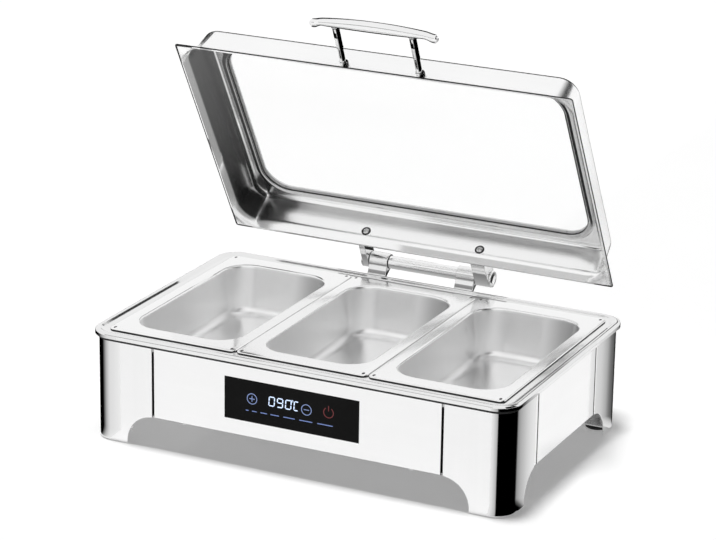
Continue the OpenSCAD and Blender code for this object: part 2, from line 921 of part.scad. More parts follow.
module temperature_probe() {
    probe_r = 3;
    probe_l = 40;
    color("silver")
    translate([0, 0, heater_low - probe_r - fit])
        along_x(-probe_l / 2, probe_l / 2, probe_r);
}

module thermal_cutout() {
    cutout_r = 9;
    cutout_h = 7;
    color("dimgray")
    translate([run_half / 2, run_pitch, heater_low - cutout_h])
        cylinder(h = cutout_h, r = cutout_r);
}

// Leads from the element's ends, round the bath, to the power board's outer terminal
module heater_leads() {
    start = run_half + lead_out;
    finish = power_x + power_w / 2;
    color("firebrick")
    for (s = [-1, 1])
        lead([[start, s * 1.5 * run_pitch, element_z],
            [channel_x - s * 1.5 * lead_r, s * 1.5 * run_pitch, element_z],
            [channel_x - s * 1.5 * lead_r, channel_y - s * 1.5 * lead_r, element_z],
            [finish, channel_y - s * 1.5 * lead_r, element_z]], lead_r);
}

// Power board: relays and transformer towards the rear panel, terminals towards the bath
module power_board() {
    terminal_d = power_y - board_t - channel_y + 4 * lead_r;
    color("darkgreen")
    translate([power_x, power_y, power_z]) {
        translate([-power_w / 2, -board_t, -power_h / 2])
            cube([power_w, board_t, power_h]);
        translate([-power_w / 4, -board_t / 2, -power_h / 4])
            cube([power_w / 5, standoff_l - 3, power_h / 2]);
        translate([power_w / 12, -board_t / 2, -power_h / 4])
            cube([power_w / 4, standoff_l - 3, power_h / 3]);
        translate([power_w / 2 - terminal_h, -board_t / 2 - terminal_d,
            element_z - power_z - terminal_h / 2])
            cube([terminal_h, terminal_d, terminal_h]);
        translate([-power_w / 2, -board_t / 2 - terminal_d, inlet_z - power_z - terminal_h / 2])
            cube([terminal_h, terminal_d, terminal_h]);
    }
}

module board_standoffs() {
    inset = 6;
    color("gold")
    for (x = [-1, 1], z = [-1, 1])
        translate([power_x + x * (power_w / 2 - inset), inner_rear, power_z + z * (power_h / 2 - inset)])
            rotate([90, 0, 0])
                cylinder(h = standoff_l, r = 3);
}

// Block about the power inlet's axis, from one place along Y to another
module inlet_block(w, h, y0, y1) {
    translate([inlet_x - w / 2, y0, inlet_z - h / 2])
        cube([w, y1 - y0, h]);
}
// Blades of the inlet: two for the mains and one, set higher, for earth
module inlet_blades(y0, y1) {
    for (p = [[-7, -2], [0, 2], [7, -2]])
        translate([inlet_x + p[0] - 1, y0, inlet_z + p[1] - 2])
            cube([2, y1 - y0, 4]);
}
inlet_front = body_d / 2 + inlet_flange_t;
blade_back = inlet_back - boot_d + 2 * boot_t;

module power_inlet() {
    color("dimgray")
    difference() {
        union() {
            inlet_block(inlet_flange_w, inlet_flange_h, body_d / 2, inlet_front);
            inlet_block(inlet_w, inlet_h, inlet_back, inlet_front);
        }
        inlet_block(inlet_w - 2 * inlet_wall, inlet_h - 2 * inlet_wall,
            inlet_front - inlet_deep + 2, inlet_front + over);
        inlet_blades(inlet_back - over, inlet_front);
        for (x = [-1, 1])
            translate([inlet_x + x * (inlet_flange_w + inlet_w) / 4, inlet_front + over, inlet_z])
                rotate([90, 0, 0])
                    cylinder(h = inlet_flange_t + 2 * over, r = screw_r);
    }
}

module inlet_pins() {
    color("silver")
    inlet_blades(blade_back, inlet_front - 3);
}

// Cover over the back of the inlet, and the lead from it to the power board
module mains_lead() {
    boot_low = inlet_back - boot_d;
    color("dimgray") {
        difference() {
            inlet_block(inlet_w, inlet_h, boot_low, inlet_back);
            inlet_block(inlet_w - 2 * boot_t, inlet_h - 2 * boot_t, boot_low + boot_t, inlet_back + over);
        }
        translate([0, (boot_low + inlet_back) / 2, inlet_z])
            along_x(inlet_x + inlet_w / 2 - boot_t / 2, power_x - power_w / 2, lead_r);
    }
}

// Bracket on the rear panel that carries the barrel, behind and clear of the rim
module hinge_bracket(x0) {
    rear = body_d / 2;
    color("dimgray")
    difference() {
        across_x(x0, x0 + clamp_w)
            difference() {
                union() {
                    translate([rear, rim_low - bracket_h])
                        square([bracket_t, bracket_h - 1.5]);
                    polygon([[rear + bracket_t / 2, rim_low - bracket_h * 0.5], [hinge_y + 2, rim_low - 4],
                        [hinge_y + ring_r - 1, hinge_z], [hinge_y - ring_r + 1, hinge_z],
                        [rear + rim_over + 3.5, rim_low + 0.5], [rear + bracket_t / 2, rim_low - 1.5]]);
                    translate([hinge_y, hinge_z])
                        circle(ring_r);
                }
                translate([hinge_y, hinge_z])
                    circle(tube_r + fit / 2);
            }
        bracket_holes(bracket_t + over);
    }
}
module hinge_bracket_left() hinge_bracket(clamp_low);
module hinge_bracket_right() hinge_bracket(clamp_high - clamp_w);

// Places of the bracket screws on the rear panel's outer face
bracket_spots = [for (x = [clamp_low, clamp_high - clamp_w], z = [0.66, 0.88])
    [x + clamp_w / 2, rim_low - bracket_h * z]];
module bracket_holes(depth) {
    for (p = bracket_spots)
        translate([p[0], body_d / 2 + depth, p[1]])
            rotate([90, 0, 0])
                cylinder(h = 2 * depth, r = screw_fit);
}
module bracket_screws() {
    color("silver")
    for (p = bracket_spots)
        translate([p[0], body_d / 2 + bracket_t, p[1]])
            rotate([90, 0, 0])
                screw(bracket_t + sheet + 2 * over);
}

module at_axis() {
    translate([0, hinge_y, hinge_z])
        children();
}

// Fixed barrel, its two bushes and the damper sleeve between them
module hinge_barrel() {
    color("silver")
    at_axis()
        difference() {
            along_x(clamp_low, clamp_high, tube_r);
            along_x(clamp_low - over, clamp_high + over, shaft_r + shaft_play + bush_t);
        }
}
module hinge_sleeve(x0, x1) {
    at_axis()
        difference() {
            along_x(x0, x1, shaft_r + shaft_play + bush_t);
            along_x(x0 - over, x1 + over, shaft_r + shaft_play);
        }
}
module hinge_bushes() {
    color("goldenrod") {
        hinge_sleeve(clamp_low, clamp_low + bush_l);
        hinge_sleeve(clamp_high - bush_l, clamp_high);
    }
}
module hinge_damper() {
    color("dimgray")
    hinge_sleeve(clamp_low + bush_l, clamp_high - bush_l);
}

// Turns the closed lid open about the hinge axis
module opened() {
    at_axis()
        rotate([-lid_open, 0, 0])
            translate([0, -hinge_y, -hinge_z])
                children();
}
// Puts a piece on the middle of the lid in plan
module on_lid() {
    opened()
        translate([0, lid_back, 0])
            children();
}

// Outer side of the lid's flare and wall, set in by the sheet's thickness for its inner side
function lid_side(t) = concat(
    [[lid_r + flare_out + edge_sink + (edge_left - sqrt(2)) * t,
        lid_low + lid_sheet - edge_sink - edge_left * t]],
    arc(flare_c, flare_r + t, 225, 180 + lean_a),
    arc([lid_r - lid_lean - lid_roof_r, lid_top - lid_roof_r], lid_roof_r - t, 0, 90),
    [[roof_r - roof_lap, lid_top - t]]);

// Lid: flat edge, walls that flare out to it, and a roof with a window
module lid_frame() {
    color("gainsboro")
    difference() {
        on_lid() {
            slab(lid_low, lid_sheet)
                ring(lid_w, lid_d, lid_flange_r,
                    wall_w + 2 * edge_lap, wall_d + 2 * edge_lap, lid_r + edge_lap);
            carried(wall_w, wall_d, lid_r)
                polygon(concat(lid_side(0), reversed(lid_side(lid_sheet))));
            slab(roof_low, lid_sheet)
                ring(roof_w, roof_d, roof_r, window_w, window_d, window_r);
        }
        at_posts()
            rotate([90, 0, 0])
                cylinder(h = 4 * lid_sheet, r = screw_fit, center = true);
        at_arms()
            rotate([90, 0, 0])
                cylinder(h = 4 * lid_sheet, r = screw_fit, center = true);
    }
}

module lid_glass() {
    color("lightcyan", 0.4)
    on_lid()
        slab(pane_low, pane_t)
            rounded(window_w + 2 * pane_lap, window_d + 2 * pane_lap, window_r + pane_lap);
}

// Seal with a groove round the pane's edge
module glass_seal() {
    out = pane_lap + seal_t;
    color("dimgray")
    on_lid()
        difference() {
            slab(seal_low, roof_low - seal_low)
                ring(window_w + 2 * out, window_d + 2 * out, window_r + out, window_w, window_d, window_r);
            slab(pane_low, pane_t)
                rounded(window_w + 2 * pane_lap, window_d + 2 * pane_lap, window_r + pane_lap);
        }
}

// Frame that holds the seal and the pane up against the roof
module glass_retainer() {
    inner = pane_lap + seal_t;
    out = inner + retainer_t;
    color("silver")
    on_lid() {
        slab(seal_low - retainer_t, retainer_t)
            ring(window_w + 2 * out, window_d + 2 * out, window_r + out,
                window_w + 2 * retainer_t, window_d + 2 * retainer_t, window_r + retainer_t);
        slab(seal_low - retainer_t, roof_low - seal_low + retainer_t)
            ring(window_w + 2 * out, window_d + 2 * out, window_r + out,
                window_w + 2 * inner, window_d + 2 * inner, window_r + inner);
    }
}

// Puts a piece on the lid's front wall, with -Y square out of the wall
module at_handle() {
    opened()
        translate([handle_x, handle_y, handle_z])
            rotate([-lean_a, 0, 0])
                children();
}
module at_posts() {
    for (x = [-1, 1])
        at_handle()
            translate([x * post_gap / 2, 0, 0])
                children();
}

// Post with a tapped hole for its screw
module handle_post(side) {
    color("darkgray")
    at_handle()
        translate([side * post_gap / 2, 0, 0])
            rotate([90, 0, 0])
                difference() {
                    cylinder(h = post_l, r = post_r);
                    translate([0, 0, -over])
                        cylinder(h = post_l / 4 + over, r = screw_fit);
                }
}
module handle_post_left() handle_post(-1);
module handle_post_right() handle_post(1);

module handle_screws() {
    color("silver")
    at_posts()
        translate([0, lid_sheet, 0])
            rotate([90, 0, 0])
                screw(post_l / 4);
}

// Grip: flat towards the lid, bowed outside, with round ends that hook back a little
module handle_grip() {
    half = grip_l / 2;
    end_r = (grip_t - grip_bow) * 0.7;
    flat = half - end_r;
    bow_r = (flat * flat + grip_bow * grip_bow) / (2 * grip_bow);
    color("whitesmoke")
    at_handle()
        mirror([0, 1, 0])
            linear_extrude(grip_d, center = true) {
                intersection() {
                    translate([0, post_l + grip_t - bow_r])
                        circle(bow_r, $fn = 256);
                    translate([-flat, post_l])
                        square([2 * flat, grip_t]);
                }
                for (x = [-flat, flat])
                    translate([x, post_l + grip_t - grip_bow - end_r])
                        circle(end_r);
            }
}

// Puts a piece on the lid's rear wall, with +Y square out of the wall, at each arm
module at_arm(side) {
    opened()
        translate([side * arm_x, arm_y, arm_z])
            rotate([lean_a, 0, 0])
                children();
}
module at_arms() {
    for (side = [-1, 1])
        at_arm(side)
            children();
}

// Arm from the lid's rear wall to a knuckle that is fixed on the hinge shaft
module hinge_arm(side, x0, x1) {
    half = ring_r - 1;
    color("darkgray")
    difference() {
        union() {
            at_arm(side)
                translate([-arm_pad_w / 2, 0, -arm_pad_low])
                    cube([arm_pad_w, arm_pad_t, arm_pad_h]);
            opened() {
                across_x(x0, x1)
                    polygon([[arm_y + arm_pad_t / 2, arm_z - arm_pad_low + arm_pad_in],
                        [arm_y + arm_pad_t / 2, arm_z + arm_pad_h / 2 - arm_pad_in],
                        [hinge_y, hinge_z + half], [hinge_y, hinge_z - half],
                        [arm_y + 2 * arm_pad_t, hinge_z - half + over]]);
                at_axis()
                    along_x(x0, x1, ring_r);
            }
        }
        at_axis()
            along_x(x0 - over, x1 + over, shaft_r + fit / 5);
        at_arm(side)
            rotate([90, 0, 0])
                cylinder(h = 2 * arm_pad_t + 2 * over, r = screw_fit, center = true);
    }
}
module hinge_arm_left() hinge_arm(-1, -hinge_half, clamp_low - run_gap);
module hinge_arm_right() hinge_arm(1, clamp_high + run_gap, hinge_half);

// Screws from inside the lid into the arms
module arm_screws() {
    color("silver")
    at_arms()
        translate([0, -lid_sheet, 0])
            rotate([-90, 0, 0])
                screw(arm_pad_t);
}

module hinge_shaft() {
    color("silver")
    at_axis()
        along_x(-hinge_half, hinge_half, shaft_r);
}

module hinge_caps() {
    color("gainsboro")
    at_axis() {
        along_x(-hinge_half - cap_t, -hinge_half, ring_r + fit);
        along_x(hinge_half, hinge_half + cap_t, ring_r + fit);
    }
}

module food_pan_left() food_pan(-1);
module food_pan_middle() food_pan(0);
module food_pan_right() food_pan(1);

leg_front_left();
leg_front_right();
leg_rear_left();
leg_rear_right();
foot_front_left();
foot_front_right();
foot_rear_left();
foot_rear_right();
foot_screws();
front_panel();
rear_panel();
left_panel();
right_panel();
inner_frame();
top_rim();
bottom_plate();
bottom_screws();
control_glass();
glass_gasket();
control_tray();
display_module();
control_board();
touch_springs();
ribbon_cable();
insulation_mat();
heat_reflector();
heating_element();
heater_plate();
heater_supports();
temperature_probe();
thermal_cutout();
heater_leads();
power_board();
board_standoffs();
power_inlet();
inlet_pins();
mains_lead();
hinge_bracket_left();
hinge_bracket_right();
bracket_screws();
hinge_barrel();
hinge_bushes();
hinge_damper();
water_pan();
food_pan_left();
food_pan_middle();
food_pan_right();
lid_frame();
lid_glass();
glass_seal();
glass_retainer();
handle_grip();
handle_post_left();
handle_post_right();
handle_screws();
hinge_arm_left();
hinge_arm_right();
arm_screws();
hinge_shaft();
hinge_caps();
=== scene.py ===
"""Looks of an electric chafing dish: polished sheet pieces, glass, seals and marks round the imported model."""
import json
import math

import bpy
import numpy as np
from mathutils import Matrix, Vector


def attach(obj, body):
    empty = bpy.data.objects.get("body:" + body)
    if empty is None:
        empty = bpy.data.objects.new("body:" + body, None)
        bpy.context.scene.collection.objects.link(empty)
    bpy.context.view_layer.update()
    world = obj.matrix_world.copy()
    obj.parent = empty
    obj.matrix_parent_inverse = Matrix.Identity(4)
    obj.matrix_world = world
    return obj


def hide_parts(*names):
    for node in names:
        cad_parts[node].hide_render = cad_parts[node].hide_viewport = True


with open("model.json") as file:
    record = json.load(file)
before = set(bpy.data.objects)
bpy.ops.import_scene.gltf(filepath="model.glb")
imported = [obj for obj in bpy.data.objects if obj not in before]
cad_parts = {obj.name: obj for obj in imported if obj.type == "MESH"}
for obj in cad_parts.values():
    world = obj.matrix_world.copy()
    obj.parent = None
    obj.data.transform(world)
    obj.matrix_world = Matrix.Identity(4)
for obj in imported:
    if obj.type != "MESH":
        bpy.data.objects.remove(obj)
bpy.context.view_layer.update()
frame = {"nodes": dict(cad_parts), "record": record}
nodes = frame["nodes"]
MM = 0.001

# Sizes in millimetres, the same as the solids' apart from FOOT_SPAN: a smaller plate lets the feet show
BODY_W, BODY_D, CORNER_R, SHEET, BEND = 560.0, 352.0, 24.0, 1.2, 1.6
PANEL_LOW, CASING_TOP, LEG_SPAN, LEG_CUT_R, SEAM_GAP = 41.0, 138.8, 85.5, 36.5, 2.2
RETURN_LOW, RETURN_TOP, RETURN_D, LOWER_RETURN, LEG_CLEAR = 44.4, 126.3, 7.5, 12.0, 1.5
FOOT_R, FOOT_H, FOOT_IN, FOOT_SPAN, FOOT_PLATE = 15.0, 6.0, 19.757, 36.5, 1.5
PAN_W, PAN_L, PAN_PITCH, PAN_TOP = 176.0, 325.0, 177.0, 142.4
PAN_FLOOR, PAN_SHEET, PAN_EDGE_R = 77.4, 1.0, 8.0
BOWL_W, BOWL_L, BOWL_R, BOWL_LEAN, BOWL_FILLET, BOWL_LIP = 142.0, 275.0, 34.0, 6.0, 12.0, 3.0
BATH_W, BATH_L, BATH_R, BATH_TOP, BATH_LOW = 505.0, 299.0, 20.0, 139.8, 61.4
BATH_LEAN, BATH_FILLET, BATH_LIP, BATH_RIM_W, BATH_RIM_L, BATH_RIM_R = 4.0, 10.0, 2.0, 525.0, 320.0, 7.2
PLATE_Z, RIM_SHEET, RIM_W, RIM_D, RIM_R = 140.0, 1.2, 570.0, 362.0, 29.0
RIM_EDGE, RIM_RISE, RIM_NOSE, RIM_LOW = 12.0, 2.8, 4.0, 135.5
SEAT_W, SEAT_L, SEAT_R, LEDGE_TOP, HOLE_W, HOLE_L, HOLE_R = 526.6, 321.6, 8.0, 138.6, 508.6, 302.6, 20.8
GLASS_W, GLASS_H, GLASS_T, GLASS_X, GLASS_Z, GLASS_GAP = 181.0, 53.5, 4.0, -4.0, 87.7, 0.3
INLET_X, INLET_Z, INLET_HALF_W, INLET_HALF_H = -5.5, 71.0, 13.8, 10.3
HINGE_Y, HINGE_Z, LID_OPEN = 201.5, 155.0, 60.0
LID_LOW, LID_TOP, LID_SHEET, LID_BACK = 142.7, 192.7, 1.0, 1.5
LID_W, LID_D, LID_FLANGE_R, LID_HEM_R = 535.0, 326.0, 4.0, 0.8
WALL_W, WALL_D, LID_R, LID_LEAN, LID_ROOF_R, FLARE_R, FLARE_OUT = 518.0, 309.0, 29.0, 4.5, 8.0, 11.0, 7.0
WINDOW_W, WINDOW_D, WINDOW_R, PANE_LAP, SEAL_T, PANE_T = 457.0, 248.0, 34.0, 7.0, 1.2, 4.0
TUBE_R, BORE_R, RING_R, HINGE_HALF = 8.5, 6.1, 11.0, 89.5
CLAMP_LOW, CLAMP_HIGH, CLAMP_W, BRACKET_H, BRACKET_T = -80.5, 69.5, 26.0, 48.0, 4.0
HANDLE_X, POST_GAP, POST_R, POST_L = 7.5, 103.0, 4.4, 53.0
GRIP_L, GRIP_T, GRIP_D, GRIP_BOW = 171.0, 13.0, 12.0, 6.0
HANDLE_UP, ARM_UP, ARM_X = 20.0, 16.8, 80.5

# Places that follow from the sizes
WALL_H = LID_TOP - LID_LOW - LID_ROOF_R
LEAN_A = math.atan2(LID_LEAN, WALL_H)
HANDLE_Y, HANDLE_Z = LID_BACK - WALL_D / 2 + LID_LEAN * HANDLE_UP / WALL_H, LID_LOW + HANDLE_UP
ARM_Y, ARM_Z = LID_BACK + WALL_D / 2 - LID_LEAN * ARM_UP / WALL_H, LID_LOW + ARM_UP
ROOF_LOW = LID_TOP - LID_SHEET
PANE_TOP = ROOF_LOW - SEAL_T
PANE_LOW = PANE_TOP - PANE_T
SEAL_LOW, SEAL_OUT = PANE_LOW - SEAL_T, PANE_LAP + SEAL_T
PANS = {"left": -1, "middle": 0, "right": 1}


# Shapes

SIDE_STEPS = np.array([0.04, 0.35, 0.65, 0.96])[:, None]
ALONG_X = [[0, 1, 0], [0, 0, 1], [1, 0, 0]]
TO_FRONT = [[1, 0, 0], [0, 0, 1], [0, -1, 0]]
TO_REAR = [[1, 0, 0], [0, 0, -1], [0, 1, 0]]
BEVEL_STEPS, BEVEL_FROM = 3, math.radians(35)


def grid(k, m, wrap_k=False, wrap_m=False):
    """Quads of a grid of k rows and m columns; a wrapped direction joins its last line to its first."""
    i = np.arange(k if wrap_k else k - 1)[:, None]
    j = np.arange(m if wrap_m else m - 1)[None]
    i2, j2 = (i + 1) % k, (j + 1) % m
    corners = np.broadcast_arrays(i * m + j, i * m + j2, i2 * m + j2, i2 * m + j)
    return np.stack(corners, -1).reshape(-1, 4).tolist()


def capped(k, m):
    """Faces of k rings of m points, with a flat face over the first ring and over the last."""
    return grid(k, m, False, True) + [list(range(m))[::-1], list(range((k - 1) * m, k * m))]


def outline(w, d, r, n):
    """Rounded rectangles: quarter circles about four corner centres, with points along the sides between."""
    w, d, r = (np.asarray(v, float)[:, None] for v in (w, d, r))
    a = np.radians(90 * np.arange(4)[:, None] + np.linspace(0, 90, n + 1)).ravel()
    sx, sy = np.repeat([1, -1, -1, 1], n + 1), np.repeat([1, 1, -1, -1], n + 1)
    p = np.stack([sx * (w / 2 - r) + r * np.cos(a), sy * (d / 2 - r) + r * np.sin(a)], -1)
    p = p.reshape(len(w), 4, n + 1, 2)
    start, stop = p[:, :, -1:], np.roll(p[:, :, :1], -1, axis=1)
    return np.concatenate([p, start + (stop - start) * SIDE_STEPS], 2).reshape(len(w), -1, 2)


def loft(rows, n, ends=False, centre=(0, 0)):
    """A profile of width, depth, corner radius and height, carried round rounded rectangles.

    It has flat ends, or else its last row joins its first.
    """
    rows = np.asarray(rows, float)
    flat = outline(rows[:, 0], rows[:, 1], rows[:, 2], n) + np.asarray(centre, float)
    k, m = flat.shape[:2]
    z = np.broadcast_to(rows[:, 3][:, None, None], (k, m, 1))
    return np.concatenate([flat, z], -1).reshape(-1, 3), capped(k, m) if ends else grid(k, m, True, True)


def lathe(profile, n=48):
    """A profile of radius and height, turned about Z, with flat ends."""
    p = np.asarray(profile, float)
    a = np.linspace(0, 2 * np.pi, n, endpoint=False)
    rings = [p[:, :1] * np.cos(a), p[:, :1] * np.sin(a), np.broadcast_to(p[:, 1:], (len(p), n))]
    return np.stack(rings, -1).reshape(-1, 3), capped(len(p), n)


def pipe(profile, n=48):
    """A closed profile of radius and height, turned about Z into a ring."""
    return lathe(profile, n)[0], grid(len(profile), n, True, True)


def bar(profile, x0, x1):
    """A flat outline of Y and Z, drawn out along X from x0 to x1, with flat ends."""
    p = np.asarray(profile, float)
    return np.concatenate([np.column_stack([np.full(len(p), x), p]) for x in (x0, x1)]), capped(2, len(p))


def arc(cx, cy, r, a0, a1, n=8):
    """Points on a circle from angle a0 to a1, in degrees."""
    a = np.radians(np.linspace(a0, a1, n + 1))
    return np.column_stack([cx + r * np.cos(a), cy + r * np.sin(a)])


def filleted(points, radii, n=5):
    """A polygon whose corners are replaced by arcs that touch both sides."""
    p = np.asarray(points, float)
    out = []
    for b, a, c, r in zip(p, np.roll(p, 1, 0), np.roll(p, -1, 0), radii):
        if r <= 0:
            out.append(b[None])
            continue
        u, v = (a - b) / np.linalg.norm(a - b), (c - b) / np.linalg.norm(c - b)
        half = math.acos(np.clip(u @ v, -1, 1)) / 2
        m = b + (u + v) / np.linalg.norm(u + v) * r / math.sin(half)
        s, e = b + u * r / math.tan(half) - m, b + v * r / math.tan(half) - m
        t = np.linspace(0, 1, n + 1)[:, None]
        w = math.pi - 2 * half
        out.append(m + (np.sin((1 - t) * w) * s + np.sin(t * w) * e) / math.sin(w))
    return np.concatenate(out)


def join(*parts):
    """Several shapes as one list of points and faces."""
    verts, faces, start = [], [], 0
    for v, f in parts:
        verts.append(np.asarray(v, float))
        faces += [[i + start for i in q] for q in f]
        start += len(v)
    return np.concatenate(verts), faces


def moved(shape, axes=None, at=(0, 0, 0)):
    """A shape with its local X, Y and Z laid along the given axes, then moved."""
    v, f = shape
    v = np.asarray(v, float)
    return (v if axes is None else v @ np.asarray(axes, float)) + np.asarray(at, float), f


def opened(shape):
    """A shape of the closed lid, turned open about the hinge axis."""
    v, f = shape
    c, s = math.cos(math.radians(LID_OPEN)), math.sin(math.radians(LID_OPEN))
    y, z = v[:, 1] - HINGE_Y, v[:, 2] - HINGE_Z
    return np.column_stack([v[:, 0], HINGE_Y + y * c + z * s, HINGE_Z - y * s + z * c]), f


def flipped(shape, x=1, y=1):
    """A shape mirrored left to right or front to back, with its faces kept outwards."""
    v, f = shape
    return np.asarray(v) * [x, y, 1], [q[::-1] for q in f] if x * y < 0 else f


def piece(name, shape, body, material, stands_for, bevel=0.0, solid=0.0, angle=40.0, second=None,
          inside=None):
    """Puts a shape into the scene as one object that rides on a body and may stand for a solid.

    A shape with a solid thickness is a sheet and thickens inwards. Any other is closed and faces outwards.
    second is a material and a list that says which faces have it; inside is a sheet's inner material.
    """
    v, f = shape
    v = np.asarray(v, float) * MM
    mesh = bpy.data.meshes.new(name)
    mesh.from_pydata(v.tolist(), [], f)
    obj = bpy.data.objects.new(name, mesh)
    bpy.context.scene.collection.objects.link(obj)
    if not solid:
        tri = np.array([[q[0], q[i], q[i + 1]] for q in f for i in range(1, len(q) - 1)])
        a, b, c = (v[tri[:, i]] - v.mean(0) for i in range(3))
        # Six times the volume, which is negative where the faces point inwards
        if np.einsum("ij,ij->", a, np.cross(b, c)) < 0:
            mesh.flip_normals()
    mesh.polygons.foreach_set("use_smooth", np.ones(len(mesh.polygons), bool))
    mesh.set_sharp_from_angle(angle=math.radians(angle))
    if solid:
        m = obj.modifiers.new("sheet", "SOLIDIFY")
        m.thickness, m.offset, m.use_even_offset = solid * MM, -1, True
    if bevel:
        m = obj.modifiers.new("edges", "BEVEL")
        m.width, m.segments, m.limit_method, m.angle_limit = bevel * MM, BEVEL_STEPS, "ANGLE", BEVEL_FROM
    obj.modifiers.new("normals", "WEIGHTED_NORMAL").keep_sharp = True
    mesh.materials.append(material)
    if second:
        mesh.materials.append(second[0])
        mesh.polygons.foreach_set("material_index", np.asarray(second[1], np.int32))
    if inside:
        mesh.materials.append(inside)
        obj.modifiers["sheet"].material_offset = len(mesh.materials) - 1
    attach(obj, body)
    if stands_for:
        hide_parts(stands_for)


# Materials

# Cells to a metre of the noise for drawn lines, smudges and fine wear in steel
LINES, SMUDGES, WEAR = 90, 9, 420
# Where a pan's polished flange starts, in metres, and how softly
FLANGE_Z, FLANGE_SOFT = 0.1405, 0.0012


class Wire:
    """A shader value. Its operators add Math nodes, and add() makes any other node."""

    def __init__(self, tree, socket=None):
        """Stands for a node tree alone, or for one of its outputs."""
        self.tree, self.socket = tree, socket

    def add(self, kind, settings=None, inputs=None, out=0):
        """A node of a kind: its settings first, then its inputs, which are values or wires."""
        n = self.tree.nodes.new(kind)
        for key, value in (settings or {}).items():
            setattr(n, key, value)
        for key, value in (inputs or {}).items():
            if isinstance(value, Wire):
                self.tree.links.new(value.socket, n.inputs[key])
            else:
                n.inputs[key].default_value = value
        return Wire(self.tree, n.outputs[out])

    def math(self, op, a, b):
        """A Math node on two values."""
        return self.add("ShaderNodeMath", {"operation": op}, {0: a, 1: b})

    def __add__(self, o):
        return self.math("ADD", self, o)

    __radd__ = __add__

    def __sub__(self, o):
        return self.math("SUBTRACT", self, o)

    def __rsub__(self, o):
        return self.math("SUBTRACT", o, self)

    def __mul__(self, o):
        return self.math("MULTIPLY", self, o)

    __rmul__ = __mul__

    def above(self, edge, soft):
        """A smooth step from 0 to 1 about an edge."""
        ends = {0: self, 1: edge - soft, 2: edge + soft}
        return self.add("ShaderNodeMapRange", {"interpolation_type": "SMOOTHSTEP"}, ends)

    def mix(self, a, b):
        """A colour between a and b, by this value; the node's colours are sockets 6 and 7 and output 2."""
        return self.add("ShaderNodeMix", {"data_type": "RGBA"}, {0: self, 6: a, 7: b}, out=2)

    def noise(self, scale, detail=3.0, stretch=(1, 1, 1), rough=0.5):
        """Noise in object space, stretched along the axes."""
        at = self.add("ShaderNodeTexCoord", out="Object")
        at = self.add("ShaderNodeMapping", {}, {"Vector": at, "Scale": stretch})
        values = {"Vector": at, "Scale": scale, "Detail": detail, "Roughness": rough}
        return self.add("ShaderNodeTexNoise", {}, values)

    def bump(self, height, strength, distance):
        """A normal that follows a height, in metres of distance."""
        return self.add("ShaderNodeBump", {}, {"Strength": strength, "Distance": distance, "Height": height})


def shade(name, build, **sockets):
    """A material with one Principled shader: fixed sockets by name, and links from build(wire)."""
    mat = bpy.data.materials.new(name)
    mat.use_nodes = True
    tree = mat.node_tree
    p = tree.nodes["Principled BSDF"]
    for key, value in sockets.items():
        p.inputs[key.replace("_", " ")].default_value = value
    for key, value in build(Wire(tree)).items():
        tree.links.new(value.socket, p.inputs[key])
    return mat


def grey(v):
    """A tone, or three parts of a colour, as an opaque colour."""
    return (v, v, v, 1) if isinstance(v, (int, float)) else (*v, 1)


def steel(name, tone, rough, streak, grain=0.02, smudge=0.04):
    """Polished steel: fine drawn lines along one axis and faint smudges in the gloss."""
    def build(w):
        """Tint and gloss by smudges and lines, bump by lines and wear."""
        lines = w.noise(LINES, 2, streak, 0.6)
        cloud = w.noise(SMUDGES, 4, (1, 1, 1), 0.6)
        tint = (cloud * 0.6 + lines * 0.4).mix(grey(tone * 0.94), grey(min(1, tone * 1.04)))
        height = lines * 0.5 + w.noise(WEAR, 2) * 0.1
        return {"Base Color": tint, "Roughness": rough + smudge * (cloud - 0.5) + grain * lines,
                "Normal": w.bump(height, 0.06, 0.0004)}
    return shade(name, build, Metallic=1.0)


def plain(name, low, high, rough, scale, depth, metal=0.0, stretch=(1, 1, 1)):
    """A grained surface between two tones, with the grain in its gloss and its bump."""
    def build(w):
        """Tint by grain and slow clouds, gloss and bump by grain."""
        fine, cloud = w.noise(scale, 3, stretch), w.noise(14, 3)
        return {"Base Color": (fine * 0.5 + cloud * 0.5).mix(grey(low), grey(high)),
                "Roughness": rough + 0.16 * (fine - 0.5), "Normal": w.bump(fine, depth, 0.0003)}
    return shade(name, build, Metallic=metal)


def pan_build(w):
    """Pressed pan: polished flange, satin bowl below it with drawn lines down the walls."""
    place = w.add("ShaderNodeTexCoord", out="Object")
    flange = w.add("ShaderNodeSeparateXYZ", {}, {"Vector": place}, out="Z").above(FLANGE_Z, FLANGE_SOFT)
    lines, cloud = w.noise(LINES, 2, (1, 1, 0.03), 0.6), w.noise(SMUDGES, 4)
    tint = (cloud * 0.6 + lines * 0.4).mix(grey(0.90), grey(0.96))
    return {"Base Color": flange.mix(tint, grey(0.90)),
            "Roughness": 0.30 - 0.17 * flange + 0.06 * (cloud - 0.5) + 0.04 * lines,
            "Normal": w.bump(lines * 0.5 + cloud * 0.1, 0.05, 0.0004)}


def glass_build(w):
    """Clear pane: see-through face on, more mirror at a glance, with faint smears."""
    smear = w.noise(6, 4)
    edge = w.add("ShaderNodeLayerWeight", {}, {"Blend": 0.35}, out="Fresnel")
    return {"Alpha": 0.002 + 0.05 * (edge * edge) + 0.004 * smear, "Roughness": 0.02 + 0.03 * smear}


def black_glass_build(w):
    """Back-printed touch glass: a deep black with the faintest smears in its gloss."""
    smear = w.noise(18, 4)
    return {"Base Color": smear.mix(grey(0.006), grey(0.014)), "Roughness": 0.05 + 0.05 * smear}


def lit(name, colour, strength):
    """A printed mark that glows: its light varies a little over the mark."""
    def build(w):
        """Light and tint by the same noise."""
        c = w.noise(400, 2).mix(grey(tuple(0.85 * v for v in colour)), grey(colour))
        return {"Emission Color": c, "Base Color": c}
    return shade(name, build, Roughness=0.4, Emission_Strength=strength)


